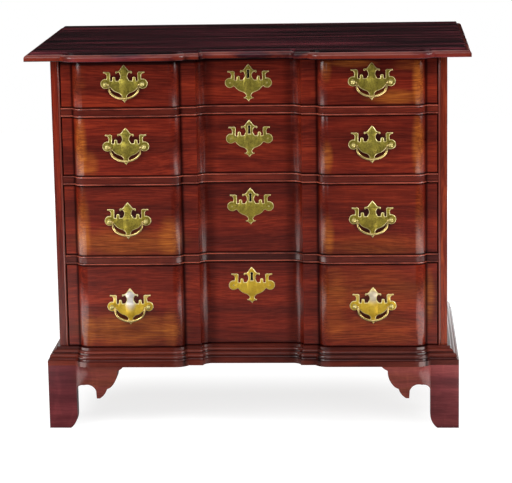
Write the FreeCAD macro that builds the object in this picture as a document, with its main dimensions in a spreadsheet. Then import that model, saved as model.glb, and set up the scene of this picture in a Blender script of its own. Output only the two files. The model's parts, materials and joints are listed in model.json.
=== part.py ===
import FreeCAD, Part
import math
import os
import re

from FreeCAD import Rotation, Vector

# Block front chest of four graduated drawers, in millimetres.
#
# x runs to the right, y to the back and z up from the floor. Every y below is measured from the
# front plane, the face of the flat strips between the blocks. FRONT_Y puts that plane into the
# chest's own frame, whose origin is the middle of the floor area that the whole chest covers.

SIZES = [
    # case
    ("case_width", 826, "outside width of the case"),
    ("case_depth", 460, "front plane to the back of the case"),
    ("side_thick", 19, "case sides"),
    ("bottom_thick", 19, "case bottom board"),
    ("back_thick", 14, "back boards"),
    ("back_rabbet", 10, "how far the back boards reach into the sides"),
    ("dado_depth", 8, "housings in the sides for rails, runners and bottom"),
    # block front, in plan
    ("recess_width", 176, "flat floor of the middle recess"),
    ("recess_depth", 18, "recess behind the front plane"),
    ("cove_width", 22, "cove at each side of the recess"),
    ("inner_flat", 32.6, "flat strip between recess and raised block"),
    ("curve_width", 22.4, "rounded end of a raised block"),
    ("outer_flat", 25.1, "flat strip between a raised block and the case side"),
    ("block_rise", 16, "raised blocks in front of the front plane"),
    ("crease_spread", 0.35, "outward shift of a block's crease for each mm of moulding"),
    ("cove_spread", 0.25, "inward shift of the recess edge for each mm of moulding"),
    ("plane_spread", 0.1, "the same for the flat faces"),
    # top board
    ("top_thick", 18, "top board"),
    ("top_side", 48, "overhang past each side of the case"),
    ("top_front", 47, "overhang past the front plane"),
    ("top_rear", 25, "overhang past the back of the case"),
    ("top_edge_height", 6.5, "upright part of the moulded edge"),
    ("top_round", 8.5, "quarter round of the moulded edge"),
    ("top_fillet", 12, "inset of the raised field of the top"),
    # rails and beads
    ("rail_thick", 19, "rails between the drawers"),
    ("rail_depth", 75, "rails, front plane to their back edge"),
    ("top_rail_thick", 4.5, "thin rail under the top"),
    ("bead_height", 3.5, "bead on each edge of a rail"),
    ("bead_proud", 2, "beads in front of the drawer faces"),
    ("side_bead_width", 5, "upright bead inside each case side"),
    ("side_bead_depth", 9, "how deep the upright bead is let in"),
    ("runner_width", 22, "drawer runners, inside the case"),
    ("stop_length", 40, "drawer stops"),
    ("stop_width", 16, "drawer stops, front to back"),
    ("stop_height", 5, "drawer stops"),
    ("stop_x", 150, "drawer stops, from the middle of the chest"),
    # base
    ("foot_height", 138, "floor to the underside of the base moulding"),
    ("moulding_height", 37.7, "base moulding"),
    ("moulding_depth", 40, "front base moulding, front plane to its back"),
    ("base_fillet_out", 6, "top fillet of the base moulding, projection"),
    ("base_fillet_height", 5.6, "top fillet of the base moulding"),
    ("base_ovolo_out", 12.5, "ovolo, projection"),
    ("base_ovolo_height", 5.4, "ovolo"),
    ("base_step_out", 13.3, "small step under the ovolo, projection"),
    ("base_step_height", 2.8, "small step under the ovolo"),
    ("base_torus_out", 20, "torus, projection"),
    ("base_torus_height", 8.4, "torus"),
    ("base_proud", 24, "fascia and feet, projection"),
    ("base_cove_height", 4.6, "cove between torus and fascia"),
    ("base_tuck", 1.2, "torus turned back at its foot"),
    ("leg_width", 60.5, "upright part of a bracket foot"),
    ("toe_width", 45.5, "bracket foot at the floor"),
    ("bracket_reach", 162.5, "bracket foot, outer corner to the end of its scroll"),
    ("foot_block", 27, "glue block behind a front foot, square"),
    ("foot_block_clear", 30, "floor to the glue block"),
    ("rear_board_thick", 20, "board behind a rear foot"),
    ("rear_board_reach", 105, "board behind a rear foot"),
    # drawers
    ("drawer_1_height", 95.6, "top drawer front"),
    ("drawer_2_height", 122.7, "second drawer front"),
    ("drawer_3_height", 148.7, "third drawer front"),
    ("drawer_4_height", 176.3, "bottom drawer front"),
    ("drawer_gap", 1.5, "gap over and under a drawer front"),
    ("drawer_side_gap", 2, "gap at each end of a drawer"),
    ("running_gap", 0.3, "clearance between sliding or seated parts"),
    ("front_depth", 33, "front plane to the back of a drawer front"),
    ("drawer_rear_gap", 21, "behind a closed drawer, to the back boards"),
    ("drawer_side_thick", 12, "drawer sides and backs"),
    ("drawer_side_drop", 8, "drawer sides below the top of the front"),
    ("drawer_back_drop", 4, "drawer back below the sides"),
    ("panel_thick", 7, "drawer bottom"),
    ("panel_rise", 8, "drawer bottom above the edge of the front"),
    ("groove_depth", 5, "grooves that hold the drawer bottom"),
    ("tail_length", 12, "dovetails"),
    ("tail_flare", 2, "dovetail, spread of each flank"),
    ("pin_width", 7, "wood between two dovetails"),
    ("tail_pitch", 42, "about one dovetail for each of these"),
    # handles
    ("handle_shift", 1.25, "middle of a handle, outward of the middle of its block"),
    ("handle_share", 0.472, "height of the handle posts, as a share of the drawer"),
    ("handle_rise", 5, "handle posts above that share"),
    ("post_spacing", 77.6, "between the two posts of a handle"),
    ("plate_height", 79, "back plate"),
    ("plate_thick", 1.6, "back plate"),
    ("lobe_radius", 10.3, "round lobe of the plate under a post"),
    ("ball_radius", 5, "ball head of a post"),
    ("ball_out", 9.8, "plate to the middle of the ball"),
    ("collar_radius", 4.4, "collar of a post"),
    ("collar_thick", 1.6, "collar of a post"),
    ("neck_radius", 2.6, "neck of a post"),
    ("shank_radius", 2.4, "threaded shank of a post"),
    ("shank_clearance", 0.2, "shank in its hole"),
    ("nut_size", 11, "square nut"),
    ("nut_thick", 4, "square nut"),
    ("shank_past_nut", 3, "shank past its nut"),
    ("bail_half", 31, "half the width of a bail"),
    ("bail_drop", 30, "bail, pivot line to the bottom of its curve"),
    ("bail_straight", 7, "upright part of a bail"),
    ("bail_corner", 19, "radius of a bail's corners"),
    ("bail_neck", 2.4, "radius of the bend into the pivot"),
    ("bail_end", 0.4, "straight end of a bail before its pivot"),
    ("bail_radius", 2.3, "bail rod"),
    ("pivot_radius", 1.7, "pivot of a bail"),
    ("pivot_length", 3.4, "pivot inside its ball"),
    ("pivot_clearance", 0.05, "pivot in its bore"),
    # escutcheons and locks
    ("escutcheon_drop", 50.4, "middle of the keyhole plate below the top of the drawer"),
    ("pin_radius", 1.3, "head of an escutcheon pin"),
    ("pin_length", 9, "escutcheon pin"),
    ("keyhole_drop", 25.4, "round part of the keyhole below the top of the drawer"),
    ("keyhole_radius", 2.9, "round part of the keyhole"),
    ("keyhole_slot", 3.2, "slot of the keyhole under its round part"),
    ("keyhole_foot", 5.6, "slot of the keyhole at its lower end"),
    ("keyhole_length", 15, "keyhole, middle of its round part to the end of the slot"),
    ("lock_width", 50, "lock case"),
    ("lock_height", 44, "lock case"),
    ("lock_depth", 8, "lock case, let into the drawer front"),
    ("lock_plate_thick", 2, "lock plates"),
    ("lock_ear", 6, "lock plates past the case at each end"),
    ("lock_wall", 1, "wall of the lock case before the bolt"),
    ("bolt_width", 16, "bolt"),
    ("bolt_thick", 5.6, "bolt"),
    ("bolt_height", 30, "bolt"),
    ("bolt_clearance", 0.3, "bolt in its channel"),
    ("bolt_throw", 8, "travel of the bolt"),
    ("mortise_clearance", 0.7, "bolt in its mortise"),
    ("mortise_depth", 8.5, "mortise over a drawer"),
]
ALIASES = {alias for alias, value, note in SIZES}

doc = FreeCAD.newDocument("block_front_chest")
sheet = doc.addObject("Spreadsheet::Sheet", "Sizes")
for row, (alias, value, note) in enumerate(SIZES, start=1):
    sheet.set(f"A{row}", note)
    sheet.set(f"B{row}", str(value))
    sheet.setAlias(f"B{row}", alias)
doc.recompute()


def val(expression):
    """Number that an expression in the sheet's sizes stands for."""
    return float(sheet.evalExpression(str(expression)))


def bind(obj, prop, expression):
    """Ties a property to an expression in the sheet's sizes."""
    words = re.sub(r"[a-z][a-z_0-9]*", lambda word: qualified(word.group()), str(expression))
    obj.setExpression(prop, words)


def qualified(word):
    return "Sizes." + word if word in ALIASES else word


# ---------------------------------------------------------------- places, as expressions

TOTAL_DEPTH = "(block_rise + top_front + case_depth + top_rear)"
FRONT_Y = f"(block_rise + top_front - {TOTAL_DEPTH} / 2)"
HALF_CASE = "(case_width / 2)"
INSIDE = "(case_width / 2 - side_thick)"
DRAWER_HALF = "(case_width / 2 - side_thick - drawer_side_gap)"
DRAWER_INSIDE = "(case_width / 2 - side_thick - drawer_side_gap - drawer_side_thick)"
BLOCK_INNER = "(recess_width / 2 + cove_width + inner_flat)"
BLOCK_OUTER = f"({INSIDE} - outer_flat)"
HANDLE_X = f"(({BLOCK_INNER} + {BLOCK_OUTER}) / 2 + handle_shift)"
HALF_TOP = "(case_width / 2 + top_side)"
DRAWER_LENGTH = "(case_depth - back_thick - drawer_rear_gap)"
BASE_TOP = "(foot_height + moulding_height)"
CASE_LOW = "(foot_height + moulding_height - bottom_thick)"
PLATE_FACE = "(-block_rise - plate_thick)"
PIVOT_Y = "(-block_rise - plate_thick - ball_out)"
DRAWERS = (1, 2, 3, 4)
RAILS = {1: "top_rail", 2: "divider_upper", 3: "divider_middle", 4: "divider_lower"}

DRAWER_LOW = {}
DRAWER_HIGH = {}
RAIL_LOW = {}
level = BASE_TOP
for n in reversed(DRAWERS):
    DRAWER_LOW[n] = f"({level} + drawer_gap)"
    DRAWER_HIGH[n] = f"({DRAWER_LOW[n]} + drawer_{n}_height)"
    RAIL_LOW[n] = f"({DRAWER_HIGH[n]} + drawer_gap)"
    level = f"({RAIL_LOW[n]} + rail_thick)"
TOP_LOW = f"({RAIL_LOW[1]} + top_rail_thick)"


# ---------------------------------------------------------------- helpers

NODES = []


def node(obj, label):
    """Makes an object one of the chest's named pieces."""
    obj.Label = label
    NODES.append(obj)
    return obj


def place(obj, x="0", y="0", z="0", rotation=None):
    """Puts an object at a place whose y is measured from the front plane."""
    if rotation:
        obj.Placement = FreeCAD.Placement(Vector(), rotation)
    bind(obj, "Placement.Base.x", x)
    bind(obj, "Placement.Base.y", f"{FRONT_Y} + {y}")
    bind(obj, "Placement.Base.z", z)
    return obj


def box(name, x, y, z, length, width, height):
    """Board from its low corner and its sizes along x, y and z."""
    board = doc.addObject("Part::Box", name)
    bind(board, "Length", length)
    bind(board, "Width", width)
    bind(board, "Height", height)
    return place(board, x, y, z)


def centred_box(name, y, z, half, width, height):
    """Board that reaches as far to the left as to the right."""
    return box(name, f"-{half}", y, z, f"2 * {half}", width, height)


def side_box(name, side, x, y, z, length, width, height):
    """Board whose inner face is x from the middle, on side 1 (right) or -1 (left)."""
    low = x if side > 0 else f"-({x} + {length})"
    return box(name, low, y, z, length, width, height)


def feature(name, shape):
    """Shape worked out in code around the front plane."""
    obj = doc.addObject("Part::Feature", name)
    obj.Shape = shape
    return place(obj)


def extrusion(name, profile, direction, length):
    """Profile drawn in its own plane, pushed along a direction."""
    obj = doc.addObject("Part::Extrusion", name)
    obj.Base = profile
    obj.DirMode = "Custom"
    obj.Dir = direction
    obj.Solid = True
    bind(obj, "LengthFwd", length)
    profile.Placement = FreeCAD.Placement()
    return obj


def profile(name, wire):
    """Flat face that an extrusion or a revolution uses."""
    obj = doc.addObject("Part::Feature", name)
    obj.Shape = Part.Face(wire)
    return obj


def cut(name, base, *tools):
    """Base with every tool taken away, one after the other."""
    for i, tool in enumerate(tools):
        result = doc.addObject("Part::Cut", f"{name}_{i}")
        result.Base = base
        result.Tool = tool
        base = result
    return base


def fuse(name, *pieces):
    obj = doc.addObject("Part::MultiFuse", name)
    obj.Shapes = list(pieces)
    obj.Refine = True
    return obj


def common(name, first, second):
    obj = doc.addObject("Part::Common", name)
    obj.Base = first
    obj.Tool = second
    return obj


def group(name, *pieces):
    """Several separate solids of one kind in one node."""
    obj = doc.addObject("Part::Compound", name)
    obj.Links = list(pieces)
    return obj


def mirrored(name, source):
    """The same piece on the other side of the chest."""
    obj = doc.addObject("Part::Mirroring", name)
    obj.Source = source
    obj.Normal = Vector(1, 0, 0)
    return obj


def rod(name, radius, length, x, y, z):
    """Round rod or drill that starts at a point and runs to the back."""
    obj = doc.addObject("Part::Cylinder", name)
    bind(obj, "Radius", radius)
    bind(obj, "Height", length)
    return place(obj, x, y, z, Rotation(Vector(1, 0, 0), -90))


def line(start, end):
    return Part.LineSegment(start, end).toShape()


def arc(start, through, end):
    return Part.Arc(start, through, end).toShape()


def outline(points, to_3d):
    """Closed wire through 2-D points; a pair of points stands for an arc's middle and end."""
    start = to_3d(*points[0])
    first = start
    edges = []
    for item in points[1:]:
        if isinstance(item[0], tuple):
            through, end = to_3d(*item[0]), to_3d(*item[1])
            edges.append(arc(start, through, end))
        else:
            end = to_3d(*item)
            edges.append(line(start, end))
        start = end
    if start.distanceToPoint(first) > 1e-6:
        edges.append(line(start, first))
    return Part.Wire(edges)


def front_view(x, z):
    return Vector(x, 0, z)


def side_view(y, z):
    return Vector(0, y, z)


def plan_view(x, y):
    return Vector(x, y, 0)


# ---------------------------------------------------------------- the block front line

def rounded_end(start, end, flat_y):
    """Arc between the front plane and a block's face or the recess, tangent to the latter."""
    if abs(start.y - flat_y) < 1e-9:
        crease, tangent = start, end
    else:
        crease, tangent = end, start
    run = abs(crease.x - tangent.x)
    rise = abs(crease.y - tangent.y)
    radius = (run ** 2 + rise ** 2) / (2 * rise)
    half_turn = math.acos((radius - rise) / radius) / 2
    along = math.copysign(1, crease.x - tangent.x)
    towards = math.copysign(1, crease.y - tangent.y)
    middle = Vector(tangent.x + along * radius * math.sin(half_turn),
                    tangent.y + towards * radius * (1 - math.cos(half_turn)), 0)
    return arc(start, middle, end)


def front_line(out, half):
    """Edges of the block front in plan, from -half to half, moved forward by out."""
    recess = val("recess_width / 2 - plane_spread * " + repr(out))
    arris = val("recess_width / 2 + cove_width - cove_spread * " + repr(out))
    block_inner = val(BLOCK_INNER)
    block_outer = val(BLOCK_OUTER)
    crease_shift = val("crease_spread") * out
    plane_shift = val("plane_spread") * out
    curve = val("curve_width")
    flat_y = -out
    recess_y = val("recess_depth") - out
    raised_y = -val("block_rise") - out
    right = [
        Vector(recess, recess_y, 0),
        Vector(arris, flat_y, 0),
        Vector(block_inner - crease_shift, flat_y, 0),
        Vector(block_inner + curve - plane_shift, raised_y, 0),
        Vector(block_outer - curve + plane_shift, raised_y, 0),
        Vector(block_outer + crease_shift, flat_y, 0),
        Vector(half, flat_y, 0),
    ]
    left = [Vector(-point.x, point.y, 0) for point in reversed(right)]
    points = left + right
    edges = []
    for start, end in zip(points, points[1:]):
        if abs(start.y - end.y) < 1e-9:
            edges.append(line(start, end))
        else:
            edges.append(rounded_end(start, end, flat_y))
    return edges


def front_section(out, half, back, z=0):
    """Closed plan outline: the block front, then the points of its straight back."""
    edges = front_line(out, half)
    corners = [Vector(half, -out, 0)] + [plan_view(x, y) for x, y in back] + [Vector(-half, -out, 0)]
    edges += [line(start, end) for start, end in zip(corners, corners[1:])]
    wire = Part.Wire(edges)
    wire.translate(Vector(0, 0, z))
    return wire


def quarter(start, end, steps, leaves_upright):
    """Points of a quarter round between two (out, z) points, without its first point."""
    points = []
    for i in range(1, steps + 1):
        turn = math.pi / 2 * i / steps
        slow, fast = 1 - math.cos(turn), math.sin(turn)
        if not leaves_upright:
            slow, fast = fast, slow
        points.append((start[0] + (end[0] - start[0]) * slow, start[1] + (end[1] - start[1]) * fast))
    return points


def bead(z, height):
    """Half-round bead on an edge, as (out, z) points."""
    steps = 4
    turns = [math.pi * i / steps for i in range(steps + 1)]
    proud = val("bead_proud")
    return [(proud * math.sin(turn), z + height * (1 - math.cos(turn)) / 2) for turn in turns]


# ---------------------------------------------------------------- case

def make_top_board():
    low = val(TOP_LOW)
    high = low + val("top_thick")
    half = val(HALF_TOP)
    front = val("top_front")
    rear = val("case_depth + top_rear")
    upright = low + val("top_edge_height")
    inset = val("top_round")
    shoulder = upright + inset * 0.87
    edge = [(0.8, low), (0, low + 0.8), (0, upright)]
    edge += quarter((0, upright), (inset, shoulder), 4, True)
    edge += [(val("top_fillet"), shoulder + 0.3), (val("top_fillet + 0.3"), high - 0.5),
             (val("top_fillet + 0.9"), high)]
    sections = []
    for set_back, z in edge:
        x = half - set_back
        sections.append(front_section(front - set_back, x, [(x, rear), (-x, rear)], z))
    board = feature("top_moulded", Part.makeLoft(sections, True, True))
    mortise = bolt_mortise("top_mortise", TOP_LOW, "(mortise_depth - top_rail_thick)")
    node(cut("top", board, mortise), "top_board")


def bolt_mortise(name, z, depth):
    """Mortise for the bolt of a lock, cut upwards from z."""
    return centred_box(name, "(front_depth - lock_depth + lock_wall - mortise_clearance)", z,
                       "(bolt_width / 2 + mortise_clearance)",
                       "(bolt_thick + 2 * mortise_clearance)", depth)


def make_sides():
    for side, name in ((-1, "side_left"), (1, "side_right")):
        board = side_box(name + "_board", side, INSIDE, "0", CASE_LOW,
                         "side_thick", "case_depth", f"{TOP_LOW} - {CASE_LOW}")
        tools = [
            side_box(name + "_bead_rabbet", side, INSIDE, "0", CASE_LOW,
                     "side_bead_width", "side_bead_depth", f"{TOP_LOW} - {CASE_LOW}"),
            side_box(name + "_back_rabbet", side, INSIDE, "(case_depth - back_thick)", CASE_LOW,
                     "back_rabbet", "back_thick", f"{TOP_LOW} - {CASE_LOW}"),
            side_box(name + "_bottom_housing", side, INSIDE, "moulding_depth", CASE_LOW,
                     "dado_depth", "(case_depth - back_thick - moulding_depth)", "bottom_thick"),
        ]
        for n in (2, 3, 4):
            tools.append(side_box(f"{name}_dado_{n}", side, INSIDE, "side_bead_depth", RAIL_LOW[n],
                                  "dado_depth", "(case_depth - back_thick - side_bead_depth)",
                                  "rail_thick"))
        node(cut(name, board, *tools), name)


def make_side_beads():
    """Upright beads let into the inner front corners of the case sides."""
    inside = val(INSIDE)
    outer = inside + val("side_bead_width")
    deep = val("side_bead_depth")
    face = profile("side_bead_profile", outline([
        (inside, deep), (inside, 0),
        (((inside + outer) / 2, -val("bead_proud")), (outer, 0)),
        (outer, deep)], plan_view))
    right = extrusion("side_bead_right", face, Vector(0, 0, 1), f"{TOP_LOW} - {BASE_TOP}")
    place(right, z=BASE_TOP)
    node(group("side_bead_pair", right, mirrored("side_bead_left", right)), "side_beads")


def make_back_boards():
    boards = []
    count = 3
    height = f"(({TOP_LOW} - {CASE_LOW}) / {count})"
    for i in range(count):
        boards.append(centred_box(f"back_board_{i}", "(case_depth - back_thick)",
                                  f"({CASE_LOW} + {i} * {height})",
                                  f"({INSIDE} + back_rabbet)", "back_thick", height))
    node(group("back", *boards), "back_boards")


def make_bottom_board():
    node(centred_box("bottom", "moulding_depth", CASE_LOW, f"({INSIDE} + dado_depth)",
                     "(case_depth - back_thick - moulding_depth)", "bottom_thick"), "bottom_board")


def make_rails():
    """Blocked rails: a bead on both edges, or one bead on the thin rail under the top."""
    inside = val(INSIDE)
    depth = val("rail_depth")
    back = [(inside, depth), (-inside, depth)]
    for n, name in RAILS.items():
        low = val(RAIL_LOW[n])
        if n == 1:
            edge = bead(low, val("top_rail_thick"))
        else:
            edge = bead(low, val("bead_height")) + bead(low + val("rail_thick - bead_height"),
                                                        val("bead_height"))
        sections = [front_section(out, inside, back, z) for out, z in edge]
        rail = feature(name + "_blocked", Part.makeLoft(sections, True, True))
        if n == 1:
            node(cut(name, rail, bolt_mortise(name + "_mortise", RAIL_LOW[n], "top_rail_thick")), name)
            continue
        tongues = [side_box(f"{name}_tongue_{side}", side, INSIDE, "side_bead_depth", RAIL_LOW[n],
                            "dado_depth", "(rail_depth - side_bead_depth)", "rail_thick")
                   for side in (-1, 1)]
        whole = fuse(name + "_whole", rail, *tongues)
        node(cut(name, whole, bolt_mortise(name + "_mortise", RAIL_LOW[n], "mortise_depth")), name)


def make_runners():
    """Strips behind the rails that carry the three upper drawers."""
    strips = []
    for n in (2, 3, 4):
        for side in (-1, 1):
            strips.append(side_box(f"runner_{n}_{side}", side, f"({INSIDE} - runner_width)",
                                   "rail_depth", RAIL_LOW[n], "(runner_width + dado_depth)",
                                   "(case_depth - back_thick - rail_depth)", "rail_thick"))
    node(group("runners", *strips), "drawer_runners")


def make_stops():
    """Small blocks that the drawer fronts meet when the drawers are shut."""
    blocks = []
    floors = {4: BASE_TOP, 3: f"({RAIL_LOW[4]} + rail_thick)", 2: f"({RAIL_LOW[3]} + rail_thick)",
              1: f"({RAIL_LOW[2]} + rail_thick)"}
    for n, floor in floors.items():
        for side in (-1, 1):
            blocks.append(side_box(f"stop_{n}_{side}", side, "stop_x", "(front_depth + running_gap)",
                                   floor, "stop_length", "stop_width", "stop_height"))
    node(group("stops", *blocks), "drawer_stops")


# ---------------------------------------------------------------- base

def base_edge():
    """Profile of the base moulding from its top down, as (out, z) points."""
    z = val(BASE_TOP)
    fillet = (val("base_fillet_out"), z)
    points = [fillet]
    z -= val("base_fillet_height")
    points.append((fillet[0], z))
    start = (fillet[0] + 0.4, z - 0.05)
    z -= val("base_ovolo_height")
    points += [start] + quarter(start, (val("base_ovolo_out"), z), 3, False)
    step = val("base_step_out")
    points.append((step, z - 0.1))
    z -= val("base_step_height")
    points.append((step, z))
    start = (step + 0.5, z - 0.05)
    torus = val("base_torus_out")
    tuck = val("base_tuck")
    height = val("base_torus_height")
    points += [start] + quarter(start, (torus, z - height * 0.62), 3, False)
    z -= height
    points += quarter((torus, z + height * 0.38), (torus - tuck, z), 2, True)
    cove = (torus - tuck, z - 0.1)
    z -= val("base_cove_height")
    points += [cove] + quarter(cove, (val("base_proud"), z), 3, True)
    points.append((val("base_proud"), val("foot_height")))
    return points


def make_base_mouldings():
    half = val(HALF_CASE)
    inside = val(INSIDE)
    depth = val("moulding_depth")
    rear = val("case_depth")
    back = [(half, 0), (inside, 0), (inside, depth), (-inside, depth), (-inside, 0), (-half, 0)]
    front_sections = []
    side_sections = []
    for out, z in base_edge():
        front_sections.append(front_section(out, half + out, back, z))
        corners = [(half, 0), (half + out, -out), (half + out, rear), (half, rear)]
        wire = outline(corners, plan_view)
        wire.translate(Vector(0, 0, z))
        side_sections.append(wire)
    node(feature("base_front", Part.makeLoft(front_sections, True, True)), "base_moulding_front")
    right = feature("base_right", Part.makeLoft(side_sections, True, True))
    node(mirrored("base_left", right), "base_moulding_left")
    node(right, "base_moulding_right")


def bracket_outline(view):
    """Bracket foot seen from outside: inward from its outer corner, and up from the floor."""
    high = val("foot_height")
    leg = val("leg_width")
    toe = val("toe_width")
    reach = val("bracket_reach")
    scroll = reach - leg

    def point(share, up):
        return (leg + scroll * share, high * up)

    return outline([
        (0, 0),
        (toe, 0),
        ((toe + (leg - toe) * 0.75, high * 0.1), (leg, high * 0.22)),
        (leg, high * 0.61),
        (point(0.054, 0.685), point(0.172, 0.714)),
        (point(0.338, 0.703), point(0.426, 0.623)),
        point(0.436, 0.505),
        point(0.5, 0.505),
        (point(0.59, 0.56), point(0.655, 0.65)),
        point(0.725, 0.675),
        (point(0.835, 0.78), point(0.88, 0.937)),
        point(0.915, 0.95),
        (point(0.955, 0.968), point(1, 1)),
        (0, high),
    ], view)


def make_feet():
    half = val(HALF_CASE)
    proud = val("base_proud")
    rear = val("case_depth")
    back = [(half, 0), (-half, 0)]

    plan = profile("base_plan", front_section(proud, half + proud, back))
    band = place(extrusion("base_band", plan, Vector(0, 0, 1), "foot_height"))
    face = profile("bracket_front_profile", bracket_outline(
        lambda inward, up: Vector(half + proud - inward, 0, up)))
    slab = extrusion("bracket_front_slab", face, Vector(0, -1, 0), "base_proud + block_rise + 1")
    place(slab)
    right = node(common("bracket_front_right", slab, band), "front_bracket_right")
    node(mirrored("bracket_front_left", right), "front_bracket_left")

    corners = [(half, 0), (half + proud, -proud), (half + proud, rear), (half, rear)]
    side_plan = profile("side_plan", outline(corners, plan_view))
    side_band = place(extrusion("side_band", side_plan, Vector(0, 0, 1), "foot_height"))
    brackets = []
    for name, view in (
            ("near", lambda inward, up: Vector(0, inward - proud, up)),
            ("far", lambda inward, up: Vector(0, rear - inward, up))):
        face = profile(f"bracket_{name}_profile", bracket_outline(view))
        slab = extrusion(f"bracket_{name}_slab", face, Vector(1, 0, 0), "base_proud")
        place(slab, HALF_CASE)
        bracket = common(f"bracket_{name}", slab, side_band)
        brackets += [bracket, mirrored(f"bracket_{name}_left", bracket)]
    node(group("brackets", *brackets), "side_brackets")

    reach = val("rear_board_reach")
    high = val(CASE_LOW)
    block = val("foot_block")
    face = profile("rear_board_profile", outline([
        (half, 0), (half - block, 0),
        ((half - block - (reach - block) * 0.35, high * 0.5), (half - reach, high * 0.75)),
        (half - reach, high), (half, high)], front_view))
    board = extrusion("rear_board_right", face, Vector(0, -1, 0), "rear_board_thick")
    place(board, y="case_depth")
    node(group("rear_boards", board, mirrored("rear_board_left", board)), "rear_brackets")

    blocks = []
    for side in (-1, 1):
        x = f"({HALF_CASE} - foot_block)"
        blocks.append(side_box(f"block_front_{side}", side, x, "0", "foot_block_clear",
                               "foot_block", "foot_block", "foot_height - foot_block_clear"))
        blocks.append(side_box(f"block_rear_{side}", side, x,
                               "(case_depth - rear_board_thick - foot_block)", "foot_block_clear",
                               "foot_block", "foot_block", f"{CASE_LOW} - foot_block_clear"))
    node(group("blocks", *blocks), "foot_blocks")


# ---------------------------------------------------------------- drawers

def tails(low, high, root_y, end_y):
    """Corners of each dovetail between two heights, from its root to its end."""
    count = max(2, round((high - low) / val("tail_pitch")))
    pitch = (high - low) / count
    half_root = (pitch - val("pin_width")) / 2
    half_end = half_root + val("tail_flare")
    shapes = []
    for i in range(count):
        z = low + pitch * (i + 0.5)
        shapes.append([(root_y, z - half_root), (end_y, z - half_end),
                       (end_y, z + half_end), (root_y, z + half_root)])
    return shapes


def tail_sockets(name, shapes):
    """Room for the dovetails at both ends of a drawer front or back."""
    inner = val(DRAWER_INSIDE)
    solids = []
    for corners in shapes:
        face = Part.Face(outline(corners, side_view))
        prism = face.extrude(Vector(val("drawer_side_thick"), 0, 0))
        prism.translate(Vector(inner, 0, 0))
        solids += [prism, prism.mirror(Vector(), Vector(1, 0, 0))]
    return feature(name, Part.makeCompound(solids))


def keyhole_cutters(name, n, y, length):
    """Round hole of a keyhole and the slot that widens below it, cut to the back from y."""
    z = f"({DRAWER_HIGH[n]} - keyhole_drop)"
    top = val("keyhole_slot / 2")
    foot = val("keyhole_foot / 2")
    low = -val("keyhole_length")
    wedge = profile(name + "_wedge", outline([(top, 0), (foot, low), (-foot, low), (-top, 0)],
                                             front_view))
    slot = place(extrusion(name + "_slot", wedge, Vector(0, 1, 0), length), "0", y, z)
    return [rod(name + "_round", "keyhole_radius", length, "0", y, z), slot]


def handle_height(n):
    """Height of the pivot line of both handles of drawer n."""
    return f"({DRAWER_LOW[n]} + drawer_{n}_height * handle_share + handle_rise)"


def post_places():
    """Name of each of a drawer's four handle posts, its handle's side and its own end."""
    words = {-1: "left", 1: "right"}
    return [(f"{words[side]}_{words[end]}", side, end) for side in (-1, 1) for end in (-1, 1)]


def post_x(side, end):
    return f"({side} * {HANDLE_X} + {end} * post_spacing / 2)"


def make_drawer_front(n, front_profile, front_tails):
    board = extrusion(f"front_{n}_board", front_profile, Vector(0, 0, 1), f"drawer_{n}_height")
    place(board, z=DRAWER_LOW[n])
    lock_y = "(front_depth - lock_depth)"
    tools = [
        tail_sockets(f"front_{n}_sockets", front_tails),
        centred_box(f"front_{n}_groove", "(front_depth - groove_depth)",
                    f"({DRAWER_LOW[n]} + panel_rise)", f"({DRAWER_INSIDE} + groove_depth)",
                    "groove_depth", "panel_thick"),
        centred_box(f"front_{n}_lock_room", lock_y, f"({DRAWER_HIGH[n]} - lock_height)",
                    "(lock_width / 2)", "lock_depth", "lock_height"),
        centred_box(f"front_{n}_selvedge_room", lock_y, f"({DRAWER_HIGH[n]} - lock_plate_thick)",
                    "(lock_width / 2 + lock_ear)", "lock_depth", "lock_plate_thick"),
    ]
    tools += keyhole_cutters(f"front_{n}_keyhole", n, "-block_rise", "(block_rise + front_depth)")
    for tag, side, end in post_places():
        tools.append(rod(f"front_{n}_hole_{tag}", "(shank_radius + shank_clearance)",
                         "(2 * block_rise + front_depth)", post_x(side, end), "-2 * block_rise",
                         handle_height(n)))
    for word, end in (("left", -1), ("right", 1)):
        tools.append(rod(f"front_{n}_pin_hole_{word}", "(pin_radius / 2)", "pin_length",
                         post_x(0, end), "recess_depth", f"({DRAWER_HIGH[n]} - escutcheon_drop)"))
    node(cut(f"front_{n}", board, *tools), f"drawer_{n}_front")


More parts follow.
